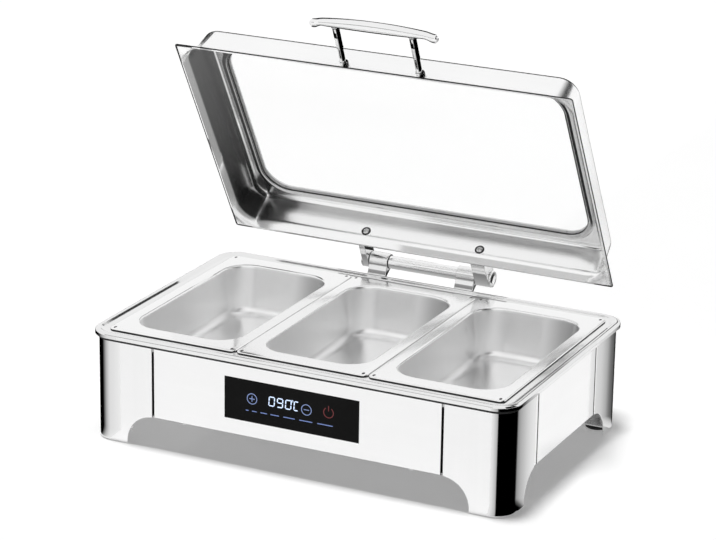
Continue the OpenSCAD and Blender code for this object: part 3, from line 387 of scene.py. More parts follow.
CASE = steel("case polished steel", 0.86, 0.07, (1, 1, 0.02))
PANEL = steel("panel polished steel", 0.88, 0.06, (0.02, 0.02, 1))
RIM = steel("rim polished steel", 0.82, 0.10, (1, 1, 1))
PAN = shade("pan polished steel", pan_build, Metallic=1.0)
BATH = steel("bath mill steel", 0.66, 0.28, (0.03, 1, 1), 0.06, 0.08)
LID = steel("lid polished steel", 0.95, 0.20, (0.04, 1, 1), 0.05, 0.05)
RETAINER = steel("retainer steel", 0.66, 0.20, (0.04, 1, 1))
HANDLE = steel("handle polished steel", 0.88, 0.08, (0.05, 1, 1))
HINGE = steel("hinge polished steel", 0.88, 0.09, (0.05, 1, 1))
BRACKET = steel("bracket satin steel", 0.84, 0.15, (0.1, 1, 1), 0.06)
SCREW = steel("screw steel", 0.62, 0.22, (1, 1, 1), 0.05)
FRAME = steel("galvanised sheet", 0.52, 0.38, (0.3, 0.3, 1), 0.08, 0.12)
# Painted shade: near-black steels, the first for seam edges and pan pips, the second for hems, edges and gaps
SHADE_STEEL = steel("dark steel as painted shade", 0.10, 0.42, (1, 1, 1), 0.08, 0.1)
HEM = steel("hem in shade", 0.03, 0.35, (1, 1, 1), 0.05, 0.05)
INSIDE = steel("inner side of sheet", 0.84, 0.24, (1, 1, 1), 0.05, 0.05)
RUBBER = plain("foot rubber", 0.012, 0.028, 0.72, 500, 0.3)
SEAL = plain("silicone seal", 0.012, 0.03, 0.5, 300, 0.12)
CLEAR_SEAL = plain("pale silicone", 0.80, 0.90, 0.5, 300, 0.1)
BLACK_PLASTIC = plain("black moulded plastic", 0.02, 0.04, 0.45, 700, 0.2)
ELEMENT = plain("heat tinted sheath", (0.14, 0.09, 0.07), (0.30, 0.24, 0.20), 0.35, 120, 0.1, 1.0)
ALUMINIUM = plain("bright aluminium", 0.70, 0.82, 0.30, 160, 0.05, 1.0, (0.1, 1, 1))
CAST = plain("cast aluminium", 0.52, 0.66, 0.48, 260, 0.3, 1.0)
MAT = plain("mineral fibre mat", (0.70, 0.66, 0.56), (0.86, 0.83, 0.74), 0.9, 260, 0.8)
BOARD = plain("green circuit board", (0.008, 0.12, 0.05), (0.03, 0.24, 0.10), 0.35, 180, 0.25)
BRASS = plain("turned brass", (0.62, 0.45, 0.18), (0.78, 0.62, 0.30), 0.25, 300, 0.05, 1.0)
NICKEL = plain("nickel plate", (0.62, 0.60, 0.55), (0.74, 0.72, 0.67), 0.2, 300, 0.05, 1.0)
RED_LEAD = plain("red silicone lead", (0.42, 0.03, 0.025), (0.60, 0.07, 0.05), 0.5, 300, 0.12)
RIBBON = plain("grey ribbon", 0.28, 0.46, 0.5, 220, 0.35)
WINDOW = shade("window glass", glass_build, Base_Color=(0.95, 0.97, 0.97, 1), IOR=1.5)
BLACK_GLASS = shade("black touch glass", black_glass_build, IOR=1.5, Specular_IOR_Level=0.05)
FIGURES = lit("display figures", (0.62, 0.74, 0.95), 1.0)
KEYS = lit("key marks", (0.20, 0.27, 0.50), 0.8)
DASHES = lit("level marks", (0.13, 0.19, 0.42), 0.9)
POWER = lit("power mark", (0.11, 0.008, 0.010), 0.7)

BY_SLOT = {
    "case_steel": CASE, "panel_steel": PANEL, "rim_steel": RIM, "pan_steel": PAN, "bath_steel": BATH,
    "lid_steel": LID, "retainer_steel": RETAINER, "handle_steel": HANDLE, "hinge_steel": HINGE,
    "bracket_steel": BRACKET, "screw_steel": SCREW, "frame_steel": FRAME, "black_glass": BLACK_GLASS,
    "window_glass": WINDOW, "seal_rubber": SEAL, "foot_rubber": RUBBER, "tray_plastic": BLACK_PLASTIC,
    "display_plastic": BLACK_PLASTIC, "board": BOARD, "spring_metal": BRASS, "ribbon": RIBBON,
    "insulation": MAT, "reflector": ALUMINIUM, "heater": CAST, "element": ELEMENT, "heat_lead": RED_LEAD,
    "mains": BLACK_PLASTIC, "inlet": BLACK_PLASTIC, "pin_metal": NICKEL, "brass": BRASS,
    "damper": BLACK_PLASTIC}
for part in frame["record"]["subparts"]:
    for s in nodes[part["node"]].material_slots:
        s.material = BY_SLOT[part["material_slot"]]


# Camera, lights and stage

# The camera's turn in radians, its place in metres, its focal length and picture width in pixels, its sensor
# in millimetres and how far it sees in metres
PITCH, YAW, ROLL = 0.3239, -0.4522, 0.0156
EYE = (1.48396, -3.06182, 1.35432)
FOCAL, PHOTO_W, SENSOR, FAR = 2912, 716, 36.0, 50
# The room's light on the object, what the floor glows beside its own light, and the floor's half side
ROOM_LIGHT, FLOOR_GLOW, FLOOR_HALF = 0.18, 0.21, 9
# A card round a corner: its points along, its radius at the foot and outside, and its heights
WRAP_STEPS, WRAP_FOOT, WRAP_R, WRAP_LOW, WRAP_TOP = 80, 0.026, 0.059, 0.0008, 0.136

lens = bpy.data.cameras.new("camera")
lens.sensor_fit, lens.sensor_width, lens.clip_end = "HORIZONTAL", SENSOR, FAR
lens.lens = SENSOR * FOCAL / PHOTO_W
camera = bpy.data.objects.new("camera", lens)
# An unturned camera looks straight down, so it is rolled, tipped up to its pitch and turned to its heading
tipped = Matrix.Rotation(math.pi / 2 - PITCH, 4, "X") @ Matrix.Rotation(ROLL, 4, "Z")
camera.matrix_world = Matrix.Translation(EYE) @ Matrix.Rotation(-YAW, 4, "Z") @ tipped
bpy.context.scene.collection.objects.link(camera)
bpy.context.scene.camera = camera
bpy.context.scene.view_settings.view_transform = "Standard"


def sun(name, at, strength, spread):
    """An even light from one direction; metal shows the pale room instead of the lamp."""
    data = bpy.data.lights.new(name, "SUN")
    data.energy, data.angle = strength, math.radians(spread)
    obj = bpy.data.objects.new(name, data)
    obj.matrix_world = Vector(at).to_track_quat("Z", "Y").to_matrix().to_4x4()
    obj.visible_glossy = False
    bpy.context.scene.collection.objects.link(obj)


def seen(w):
    """1 for rays from the camera, from polished metal and through glass, otherwise 0."""
    rays = ("Is Camera Ray", "Is Glossy Ray", "Is Transmission Ray")
    a, b, c = (w.add("ShaderNodeLightPath", out=ray) for ray in rays)
    return w.math("MAXIMUM", w.math("MAXIMUM", a, b), c)


sun("key lamp", at=(-0.26, -0.08, 2.8), strength=2.25, spread=11)
world = bpy.data.worlds.new("room")
bpy.context.scene.world = world
world.use_nodes = True
tree = world.node_tree
room = tree.nodes["Background"]
tree.links.new((ROOM_LIGHT + (1 - ROOM_LIGHT) * seen(Wire(tree))).socket, room.inputs["Strength"])
room.inputs["Color"].default_value = (1, 1, 1, 1)


def stage_sheet(name, corners, faces, material):
    """A plain mesh that belongs to the stage, not to the object."""
    mesh = bpy.data.meshes.new(name)
    mesh.from_pydata(corners, [], faces)
    obj = bpy.data.objects.new(name, mesh)
    bpy.context.scene.collection.objects.link(obj)
    mesh.materials.append(material)
    return obj


def floor_build(w):
    """Pale floor that is seen a little brighter than its light makes it, so that only shadows are grey."""
    tint = w.noise(3, 3).mix(grey(0.90), grey(0.93))
    return {"Base Color": tint, "Emission Strength": FLOOR_GLOW * seen(w)}


def card_build(w):
    """A card's light is the tone that its points hold."""
    return {"Emission Strength": w.add("ShaderNodeAttribute", {"attribute_name": "tone"}, out="Fac")}


FLOOR = shade("pale floor", floor_build, Roughness=0.9, Emission_Color=(1, 1, 1, 1))
CARD = shade("studio card", card_build, Base_Color=(0, 0, 0, 1), Roughness=1.0, Specular_IOR_Level=0.0,
             Emission_Color=(1, 1, 1, 1))
corners = [(x * FLOOR_HALF, y * FLOOR_HALF, 0) for x, y in ((-1, -1), (1, -1), (1, 1), (-1, 1))]
stage_sheet("floor", corners, [(0, 1, 2, 3)], FLOOR)


def card(name, points, rows, tones):
    """A grid of places whose tone shows only in polished metal: a flag that a studio sets by bright steel.

    tones is one for all, or one for each place.
    """
    points = np.asarray(points, float).reshape(-1, 3)
    obj = stage_sheet(name, points.tolist(), grid(rows, len(points) // rows), CARD)
    tone = obj.data.attributes.new("tone", "FLOAT", "POINT")
    tone.data.foreach_set("value", np.broadcast_to(np.ravel(tones), len(points)).astype(np.float32))
    for flag in ("visible_camera", "visible_diffuse", "visible_shadow", "visible_transmission"):
        setattr(obj, flag, False)


def wrap_card(name, x, y, stops):
    """A card that lies and then stands round a corner; stops are bearings from the front, and their tones."""
    bearing, tone = np.radians([a for a, _ in stops]), np.array([t for _, t in stops])
    fine = np.linspace(bearing[0], bearing[-1], WRAP_STEPS)
    rings = ((WRAP_FOOT, WRAP_LOW), (WRAP_R, WRAP_LOW), (WRAP_R, WRAP_TOP))
    p = [np.column_stack([x + r * np.sin(fine), y - r * np.cos(fine), np.full(WRAP_STEPS, z)])
         for r, z in rings]
    card(name, p, 3, np.tile(np.interp(fine, bearing, tone), (3, 1)))


def sheet_card(name, x, y, z, tones):
    """A flat card with two edges along X: x, y and z give its start and its end, or one place for both."""
    ends = zip(np.broadcast_to(y, 2), np.broadcast_to(z, 2))
    card(name, [(a, b, c) for b, c in ends for a in x], 2, tones)


def lid_card(name, points, rows, tones):
    """A card by or in the open lid, from places by the closed lid, in millimetres."""
    card(name, opened((np.asarray(points, float), []))[0] * MM, rows, tones)


# Cards round the object, with places in metres where they are not by the lid
wrap_card("front right flag", 0.256, -0.152, [
    (-10, 0.95), (0, 0.82), (17, 0.5), (19, 0.0), (125, 0.0), (132.5, 0.12), (138.5, 0.45), (149.5, 0.8),
    (156, 0.92)])
wrap_card("rear right flag", 0.256, 0.152, [
    (99, 0.9), (110, 0.8), (120, 0.72), (128, 0.5), (133, 0.2), (140, 0.03), (200, 0.0)])
wrap_card("front left flag", -0.256, -0.152, [
    (-140, 0.0), (-60, 0.0), (-50, 0.18), (-35, 0.55), (-18, 0.85), (-5, 0.97)])
sheet_card("back flag", x=(-0.1, 0.28), y=(0.4, 1.7), z=0.0012, tones=(0.0, 0.0, 0.12, 0.12))
sheet_card("lid side card", x=(0.5, 0.85), y=(0.55, 1.35), z=0.0012, tones=0.75)
card("lid corner flag", [(x, y, 1.0) for y in (0.0, 0.7) for x in (0.34, 0.56, 0.98)], 2,
     [0.85, 0.05, 0.05] * 2)
sheet_card("front flag", x=(-1.2, 0.1), y=-1.2, z=(0.24, 0.62), tones=(0.3, 0.65, 0.3, 0.65))
card("side flag", [(x, y, z) for z in (0.12, 1.1) for x, y in ((1.0, -0.75), (1.15, 0.1))], 2, 0.0)
lid_card("lid left flag", [(-238, y, LID_LOW + z) for z in (-30, -6, 2, 48) for y in (-150, 0, 152)], 4,
         [0.42, 0.36, 0.30, 0.42, 0.36, 0.30, 0.14, 0.08, 0.01, 0.14, 0.08, 0.0])
sheet_card("barrel flag", x=(-0.12, 0.12), y=(0.178, 0.2125), z=0.1455, tones=(0.2, 0.2, 0.8, 0.8))
for place in PANS.values():
    wall = place * PAN_PITCH + BOWL_W / 2
    sheet_card(f"pan flag {place}", x=((wall - 60) * MM, (wall - 5) * MM), y=(0.128, 0.131),
               z=(0.083, 0.1395), tones=(0.62, 0.02, 0.62, 0.02))
front = LID_BACK - WALL_D / 2
lid_card("roof flag front", [(x, front + y, LID_TOP + 40) for y in (-8, 50) for x in (-320, 262)], 2, 0.0)
lid_card("roof flag right", [(x, y, LID_TOP + 40) for y in (-115, 215) for x in (228, 262)], 2, 0.0)
sheet_card("flange card", x=(-0.26, -0.05), y=0.12, z=(0.17, 0.28), tones=0.95)
sheet_card("front flange card", x=(-0.24, -0.15), y=-0.05, z=(0.155, 0.215), tones=0.95)
ramp = ((-0.281, 0.18), (-0.262, 0.18), (-0.302, 0.31), (-0.262, 0.31))
card("left ramp flag", [(x, 0.09, z) for x, z in ramp], 2, 0.05)
sheet_card("rear right floor card", x=(0.1, 0.275), y=(0.04, 0.172), z=0.001, tones=0.44)
sheet_card("front left floor card", x=(-0.276, -0.16), y=(-0.165, 0.03), z=0.001, tones=0.44)
sheet_card("left rim flag", x=(-1.4, -0.5), y=1.4, z=(0.0, 0.26), tones=0.0)
lid_card("lid right flag", [(x, y, LID_LOW + 22) for y in (-140, 122) for x in (198, 240)], 2, 0.03)


# Case

def bend_path(deep):
    """A turned-in edge, from deep inside round a quarter circle to the face: places along, and depths."""
    q = np.radians(np.linspace(0, 90, 5))
    return np.append(0, BEND * (1 - np.cos(q))), np.append(deep, BEND * (1 - np.sin(q)))


def leg_sheet():
    """Corner sheet: a plan path of turned-in edge, face, quarter circle, face and edge, from arch to rim.

    The arch is a quarter circle, so a place sin t along the face starts cos t up. The edges are dark as painted
    shade in the seams.
    """
    start = SEAM_GAP / 2 + BEND
    t = np.radians(np.linspace(2, 90, 15))
    t = t[LEG_CUT_R * np.sin(t) > start + 0.3]
    face = np.concatenate([[start], LEG_CUT_R * np.sin(t), [LEG_CUT_R + 0.02, LEG_SPAN - CORNER_R - 0.5]])
    arch = np.concatenate([[PANEL_LOW], PANEL_LOW - LEG_CUT_R * (1 - np.cos(t)), [LEG_CLEAR, LEG_CLEAR]])
    edge, deep = (p[:-1] for p in bend_path(RETURN_D))
    s = np.concatenate([SEAM_GAP / 2 + edge, face])
    d = np.concatenate([deep, np.zeros(len(face))])
    z0 = np.concatenate([[RETURN_LOW, RETURN_LOW], np.full(len(edge) - 2, PANEL_LOW + 0.4), arch])
    z1 = np.concatenate([[RETURN_TOP, RETURN_TOP], np.full(len(s) - 2, CASING_TOP)])
    a = np.column_stack([BODY_W / 2 - d, BODY_D / 2 - LEG_SPAN + s])
    q = arc(BODY_W / 2 - CORNER_R, BODY_D / 2 - CORNER_R, CORNER_R, 0, 90, 24)
    b = np.column_stack([BODY_W / 2 - LEG_SPAN + s, BODY_D / 2 - d])[::-1]
    plan = np.concatenate([a, q, b])
    low = np.concatenate([z0, np.full(len(q), LEG_CLEAR), z0[::-1]])
    high = np.concatenate([z1, np.full(len(q), CASING_TOP), z1[::-1]])
    z = low + (high - low) * np.array([0, 0.02, 0.5, 0.98, 1.0])[:, None]
    v = np.concatenate([np.broadcast_to(plan, (*z.shape, 2)), z[..., None]], -1)
    dark = np.zeros((len(z) - 1, len(plan) - 1), int)
    dark[:, :3] = dark[:, -3:] = 1
    return (v.reshape(-1, 3), grid(*z.shape)), dark.ravel()


def foot_plate():
    """Plate inside a leg, with the corner's own rounding, that carries the foot."""
    a, b, r = BODY_W / 2 - SHEET, BODY_D / 2 - SHEET, CORNER_R - SHEET
    x, y = BODY_W / 2 - FOOT_SPAN, BODY_D / 2 - FOOT_SPAN
    v, f = bar(np.concatenate([[[x, y], [a, y]], arc(a - r, b - r, r, 0, 90, 10), [[x, b]]]),
               FOOT_H + 0.05, FOOT_H + FOOT_PLATE)
    return v[:, [1, 2, 0]], f


def foot():
    """Rubber disc with a rounded lower edge, a groove round its side and a recess for its screw."""
    recess, hole, step, edge, groove = 5.0, 2.1, 3.0, 1.2, 0.7
    low = [[recess, step], [recess, 0.0], [FOOT_R - 3, 0.0]]
    side = [[FOOT_R, 3.2], [FOOT_R - groove, 3.5], [FOOT_R - groove, 3.9], [FOOT_R, 4.2]]
    top = [[FOOT_R, FOOT_H], [hole, FOOT_H], [hole, step]]
    p = np.concatenate([low, arc(FOOT_R - edge, edge, edge, -90, 0, 4), side, top])
    return moved(pipe(p, 64), at=(BODY_W / 2 - FOOT_IN, BODY_D / 2 - FOOT_IN, 0))


for corner, x, y in (("front_left", -1, -1), ("front_right", 1, -1),
                     ("rear_left", -1, 1), ("rear_right", 1, 1)):
    sheet, dark = leg_sheet()
    # The turned-in edges take near-black steel as painted shade in the seams
    piece(f"leg_{corner}_sheet", flipped(sheet, x, y), "base", CASE, f"leg_{corner}",
          solid=SHEET, second=(SHADE_STEEL, dark), inside=INSIDE)
    piece(f"leg_{corner}_plate", flipped(foot_plate(), x, y), "base", INSIDE, None)
    piece(f"foot_{corner}_rubber", flipped(foot(), x, y), "base", RUBBER, f"foot_{corner}")


def panel_sheet(length, hole):
    """Formed panel: the face in X and Z, with its sides and lower edge turned in through small bends.

    A hole, from and to in X and in Z, leaves out a cell. The turned-in edges are dark as painted shade in the
    seams.
    """
    side, deep = bend_path(RETURN_D)
    xs, dx = np.concatenate([side - length / 2, length / 2 - side[::-1]]), np.concatenate([deep, deep[::-1]])
    zs, dz = np.append(PANEL_LOW + side, CASING_TOP), np.append(bend_path(LOWER_RETURN)[1], 0)
    if hole:
        xs, dx = np.insert(xs, len(side), hole[:2]), np.insert(dx, len(side), [0, 0])
        zs, dz = np.insert(zs, len(side), hole[2:]), np.insert(dz, len(side), [0, 0])
    k, m = len(zs), len(xs)
    y = np.maximum(dz[:, None], dx)
    v = np.stack([np.broadcast_to(xs, (k, m)), y, np.broadcast_to(zs[:, None], (k, m))], -1).reshape(-1, 3)
    faces = np.array(grid(k, m))
    if hole:
        c = v[faces].mean(1)
        faces = faces[(c[:, 0] < hole[0]) | (c[:, 0] > hole[1]) | (c[:, 2] < hole[2]) | (c[:, 2] > hole[3])]
    return v, faces.tolist(), v[faces, 1].mean(1) > 0.6


def opening(x, z, half_w, half_h):
    """A hole in a panel, from its middle and its half sizes."""
    return x - half_w, x + half_w, z - half_h, z + half_h


FRONT_LEN, SIDE_LEN = BODY_W - 2 * LEG_SPAN - SEAM_GAP, BODY_D - 2 * LEG_SPAN - SEAM_GAP
glass_hole = opening(GLASS_X, GLASS_Z, GLASS_W / 2 + GLASS_GAP, GLASS_H / 2 + GLASS_GAP)
inlet_hole = opening(-INLET_X, INLET_Z, INLET_HALF_W, INLET_HALF_H)
for side, length, across, turn, hole in (
        ("front", FRONT_LEN, BODY_D, 0, glass_hole), ("right", SIDE_LEN, BODY_W, 90, None),
        ("rear", FRONT_LEN, BODY_D, 180, inlet_hole), ("left", SIDE_LEN, BODY_W, 270, None)):
    v, f, dark = panel_sheet(length, hole)
    v[:, 1] -= across / 2
    c, s = round(math.cos(math.radians(turn))), round(math.sin(math.radians(turn)))
    v = np.column_stack([c * v[:, 0] - s * v[:, 1], s * v[:, 0] + c * v[:, 1], v[:, 2]])
    # The turned-in edges take near-black steel as painted shade in the seams
    piece(f"{side}_panel_sheet", (v, f), "base", PANEL, f"{side}_panel",
          solid=SHEET, second=(SHADE_STEEL, dark))


def rim():
    """Rim: raised rolled edge outside, flat plate, and a sunk ledge inside, as one closed sheet section.

    The edge rises by half a cosine wave and ends in a quarter circle.
    """
    def edge(t):
        """Rows of the edge, t in from the outer side."""
        s = np.linspace(0, 1, 13)
        x = RIM_R - RIM_EDGE + s * (RIM_EDGE - RIM_NOSE)
        z = PLATE_Z - t + RIM_RISE * (1 - np.cos(np.pi * s)) / 2
        nose = arc(RIM_R - RIM_NOSE, PLATE_Z + RIM_RISE - RIM_NOSE, RIM_NOSE - t, 90, 0, 10)[1:]
        skirt = [[RIM_R - t, RIM_LOW + 0.5], [RIM_R - t, RIM_LOW]]
        p = np.concatenate([np.column_stack([x, z]), nose, skirt])
        return [(RIM_W - 2 * (RIM_R - x), RIM_D - 2 * (RIM_R - x), x, z) for x, z in p]

    def seat(*places):
        """Rows of the seat, from how far outside it they are and their heights."""
        return [(SEAT_W + 2 * o, SEAT_L + 2 * o, SEAT_R + o, z) for o, z in places]

    ledge_low = LEDGE_TOP - RIM_SHEET
    top = seat((-1.0, LEDGE_TOP), (-0.3, LEDGE_TOP + 0.3), (0, LEDGE_TOP + 0.8), (0.2, PLATE_Z - 0.4),
               (0.8, PLATE_Z))
    low = seat((1.6, PLATE_Z - RIM_SHEET), (1.2, PLATE_Z - 2.0), (1.0, LEDGE_TOP - 0.7), (0.4, ledge_low))
    hole = [(HOLE_W, HOLE_L, HOLE_R, z) for z in (LEDGE_TOP, ledge_low)]
    return loft(hole[:1] + top + edge(0) + edge(RIM_SHEET)[::-1] + low + hole[1:], 16)


def rim_shade_lip():
    """Soft black lip under the rim, round the casing, that stands in as painted shade below the rim: a
    drop-shaped section.
    """
    high, turn = RIM_LOW + 0.6, 132.2
    lip = np.concatenate([[[0.05, high], [0.05, turn - 0.8]], arc(0.6, turn, 0.9, -120, 0, 5), [[1.5, high]]])
    return loft([(BODY_W + 2 * o, BODY_D + 2 * o, CORNER_R + o, z) for o, z in lip], 16)


piece("top_rim_sheet", rim(), "base", RIM, "top_rim", angle=50)
# A black lip as painted shade under the rim
piece("rim_shade_lip_ring", rim_shade_lip(), "base", RUBBER, None)


# Pans

def bowl_rows(w, d, r, top, low, lean, fillet, lip, t):
    """A bowl's inner side, from a rounded lip down the leaning wall and round to the floor, and its outer."""
    high, turn = top - lip - 2, low + fillet

    def wall(o, z):
        """A place on the wall that is o outside the inner one."""
        return o - lean * (top - z) / (top - low), z

    def side(o, f):
        """Wall and floor fillet of the side that is o outside the inner one."""
        c = wall(o, turn)[0] - f
        q = np.radians(np.linspace(10, 90, 8))
        return [wall(o, high), wall(o, turn)] + [(c + f * math.cos(a), turn - f * math.sin(a)) for a in q]

    q = np.radians(np.linspace(0, 80, 7))
    edge = [(lip * (1 - math.sin(a)), top - lip * (1 - math.cos(a))) for a in q]
    sides = edge + side(0, fillet), side(t, fillet + t)
    return [[(w + 2 * x, d + 2 * x, r + x, z) for x, z in p] for p in sides]


def food_pan(place):
    """Food pan: pressed bowl, flat flange with a shallow step, and a turned-down edge with a dark foot of
    painted shade.
    """
    inner, outer = bowl_rows(BOWL_W, BOWL_L, BOWL_R, PAN_TOP, PAN_FLOOR, BOWL_LEAN, BOWL_FILLET, BOWL_LIP,
                             PAN_SHEET)
    step, turn, foot = PAN_TOP - 0.25, PAN_TOP - 1.3, PLATE_Z + 0.25
    # How far the size and the corner radius are less than the pan's own, and the height
    flange = [(9, 3.2, PAN_TOP), (7.6, 2.8, step), (2.4, 1.0, step), (0.9, 0.35, PAN_TOP - 0.5), (0, 0, turn),
              (0, 0, foot), (2, 1, foot), (2, 1, turn), (4, 2, PAN_TOP - PAN_SHEET - 0.3)]
    edge = [(PAN_W - i, PAN_L - i, PAN_EDGE_R - r, z) for i, r, z in flange]
    under = [(BOWL_W + 12, BOWL_L + 12, BOWL_R + 6, PAN_TOP - PAN_SHEET)]
    rows = inner[::-1] + edge + under + outer
    v, f = loft(rows, 14, ends=True, centre=(place * PAN_PITCH, 0))
    m, hem = len(v) // len(rows), len(inner) + flange.index((0, 0, turn))
    dark = np.zeros(len(f), int)
    dark[hem * m:(hem + 1) * m] = 1
    return (v, f), dark


def pips(place):
    """Stacking pips near the flange's corners: short rounded bars pressed up out of it."""
    v, f = lathe([[1.0, 0.0], [1.0, 0.15], [0.75, 0.32], [0.3, 0.38]], 20)
    pip = v * [1.8, 3.0, 1], f
    x, y = PAN_W / 2 - 6.5, PAN_L / 2 - 7
    spots = [(place * PAN_PITCH + sx * x, sy * y, PAN_TOP - 0.2) for sx in (-1, 1) for sy in (-1, 1)]
    return join(*[moved(pip, at=p) for p in spots])


def water_pan():
    """Bath: a wide pressed bowl under a narrow flange."""
    inner, outer = bowl_rows(BATH_W, BATH_L, BATH_R, BATH_TOP, BATH_LOW + PAN_SHEET, BATH_LEAN, BATH_FILLET,
                             BATH_LIP, PAN_SHEET)
    w, l, r, low = BATH_RIM_W, BATH_RIM_L, BATH_RIM_R, BATH_TOP - PAN_SHEET
    flange = [(w - 0.6, l - 0.6, r - 0.3, BATH_TOP), (w, l, r, BATH_TOP - 0.4), (w, l, r, low),
              (BATH_W + 8, BATH_L + 8, BATH_R + 4, low)]
    return loft(inner[::-1] + flange + outer, 10, ends=True)


for name, place in PANS.items():
    pan, dark = food_pan(place)
    # The turned-down edge is near black as painted shade at the flange's edge
    piece(f"food_pan_{name}_shell", pan, f"food_pan_{name}", PAN, f"food_pan_{name}", angle=60,
          second=(HEM, dark))
for name, place in PANS.items():
    # The pips are near-black steel as painted shade
    piece(f"food_pan_{name}_pips", pips(place), f"food_pan_{name}", SHADE_STEEL, None)
piece("water_pan_shell", water_pan(), "water_pan", BATH, "water_pan", angle=60)


# Lid

def lid_rows(t):
    """Half of the lid's section, t in from the outer side: rolled roof edge, leaning wall and wide flare."""
    c, s = math.cos(LEAN_A), math.sin(LEAN_A)
    up = (FLARE_OUT + LID_SHEET + FLARE_R * (math.sqrt(2) - c - s)) / (c - s)
    lean = math.degrees(LEAN_A)
    roll = arc(-LID_LEAN - LID_ROOF_R, LID_TOP - LID_ROOF_R, LID_ROOF_R - t, 90, lean, 10)
    centre = -up * s + FLARE_R * c, LID_LOW + up * c + FLARE_R * s
    flare = arc(*centre, FLARE_R + t, 180 + lean, 225, 10)
    foot = [(FLARE_OUT - (math.sqrt(2) - 1) * t, LID_LOW + LID_SHEET - t)]
    return [(WALL_W + 2 * o, WALL_D + 2 * o, LID_R + o, h) for o, h in np.concatenate([roll, flare, foot])]


def lid():
    """Lid: roof with a window, leaning walls and a flared edge with a dark hem, as one closed sheet section.

    The hem is dark as painted shade, and so is the band inside it along the left edge and at both ends of the
    rear edge.
    """
    window = (WINDOW_W, WINDOW_D, WINDOW_R)
    out = [(*window, LID_TOP - 0.4), (WINDOW_W + 0.8, WINDOW_D + 0.8, WINDOW_R + 0.4, LID_TOP)] + lid_rows(0)
    fold = arc(-LID_HEM_R, LID_LOW + LID_HEM_R, LID_HEM_R, 110, -110, 12)
    hem = [(LID_W + 2 * o, LID_D + 2 * o, LID_FLANGE_R + o, z) for o, z in fold]
    band = [(LID_W - 6.4, LID_D - 6.4, LID_FLANGE_R - 3.2, LID_LOW)]
    rows = out + hem + band + lid_rows(LID_SHEET)[::-1] + [(*window, LID_TOP - LID_SHEET)]
    v, f = loft(rows, 16, centre=(0, LID_BACK))
    start, stop, m = len(out), len(out) + len(hem) - 1, len(v) // len(rows)
    dark = np.zeros((len(rows), m), int)
    dark[start:stop] = 1
    x, y = v[start * m:(start + 1) * m, :2].T
    near, left_end, right_end = 6, -185, 252
    dark[stop] = (x < near - LID_W / 2) | (y > LID_D / 2 - near) & ((x < left_end) | (x > right_end))
    return opened((v, f)), dark.ravel()


def window_ring(rows):
    """A ring that follows the window; rows give how far outside the window it is, and its height."""
    rows = [(WINDOW_W + 2 * o, WINDOW_D + 2 * o, WINDOW_R + o, z) for o, z in rows]
    return opened(loft(rows, 14, centre=(0, LID_BACK)))


shell, dark = lid()
# The hem and parts of the band take near-black steel as painted shade
piece("lid_shell", shell, "lid", LID, "lid_frame", angle=50, second=(HEM, dark))
glass_seal = window_ring([
    (0.2, PANE_LOW), (0.2, SEAL_LOW + 0.3), (0.6, SEAL_LOW), (SEAL_OUT, SEAL_LOW), (SEAL_OUT, ROOF_LOW),
    (0.3, ROOF_LOW), (0.3, PANE_TOP), (PANE_LAP, PANE_TOP), (PANE_LAP, PANE_LOW)])
count = len(glass_seal[1])
# The last four of the section's nine sides hold the pane and are pale
piece("glass_seal_ring", glass_seal, "lid", SEAL, "glass_seal",
      second=(CLEAR_SEAL, np.arange(count) >= count * 5 // 9))
retainer = window_ring([
    (1.2, SEAL_LOW - 0.1), (1.0, SEAL_LOW - 0.8), (1.6, SEAL_LOW - 1.0), (3.4, SEAL_LOW - 1.0),
    (4.2, SEAL_LOW - 1.9), (7.4, SEAL_LOW - 1.9), (8.4, SEAL_LOW - 1.0), (SEAL_OUT + 1, SEAL_LOW - 0.6),
    (SEAL_OUT + 1, ROOF_LOW), (SEAL_OUT, ROOF_LOW), (SEAL_OUT, SEAL_LOW - 0.1)])
piece("glass_retainer_ring", retainer, "lid", RETAINER, "glass_retainer", angle=60)


# Handle and hinge

def on_front_wall(shape, x=0.0):
    """Local X along the wall, Y out of the lid's front wall and Z up it."""
    c, s = math.cos(LEAN_A), math.sin(LEAN_A)
    return opened(moved(shape, [[1, 0, 0], [0, -c, s], [0, s, c]], (HANDLE_X + x, HANDLE_Y, HANDLE_Z)))


def on_rear_wall(shape, x):
    """Local X along the wall, Y out of the lid's rear wall and Z up it."""
    c, s = math.cos(LEAN_A), math.sin(LEAN_A)
    return opened(moved(shape, [[1, 0, 0], [0, c, s], [0, -s, c]], (x, ARM_Y, ARM_Z)))


def grip():
    """Grip: along X, an oval between a bowed top and a flatter underside, with round ends that hook down."""
    k, m = 121, 40
    x = GRIP_L / 2 * np.sin(np.linspace(-1, 1, k) * np.pi / 2)
    t = np.abs(x) / (GRIP_L / 2)
    droop = np.clip((t - 0.80) / 0.14, 0, 1)
    droop = droop * droop * (3 - 2 * droop)
    end = np.sqrt(np.clip(1 - np.clip((t - 0.955) / 0.045, 0, 1) ** 2, 0, 1))
    top = POST_L + GRIP_T - GRIP_BOW * t ** 2 - 0.8 * droop
    low = POST_L - 1.0 + 1.6 * np.clip(t / 0.8, 0, 1) ** 2 - 4.6 * droop
    mid, half = (top + low) / 2, np.maximum((top - low) / 2 * end, 0.05)
    deep = (GRIP_D / 2 - 1.6 * t ** 3) * np.maximum(end, 0.02)
    a = np.linspace(0, 2 * np.pi, m, endpoint=False)
    c, s = np.sign(np.cos(a)) * np.abs(np.cos(a)) ** 0.8, np.sign(np.sin(a)) * np.abs(np.sin(a)) ** 0.85
    x, mid, half, deep = (p[:, None] for p in (x, mid, half, deep))
    v = np.stack([np.broadcast_to(x, (k, m)), mid + half * s, deep * c], -1).reshape(-1, 3)
    return on_front_wall((v, capped(k, m)))


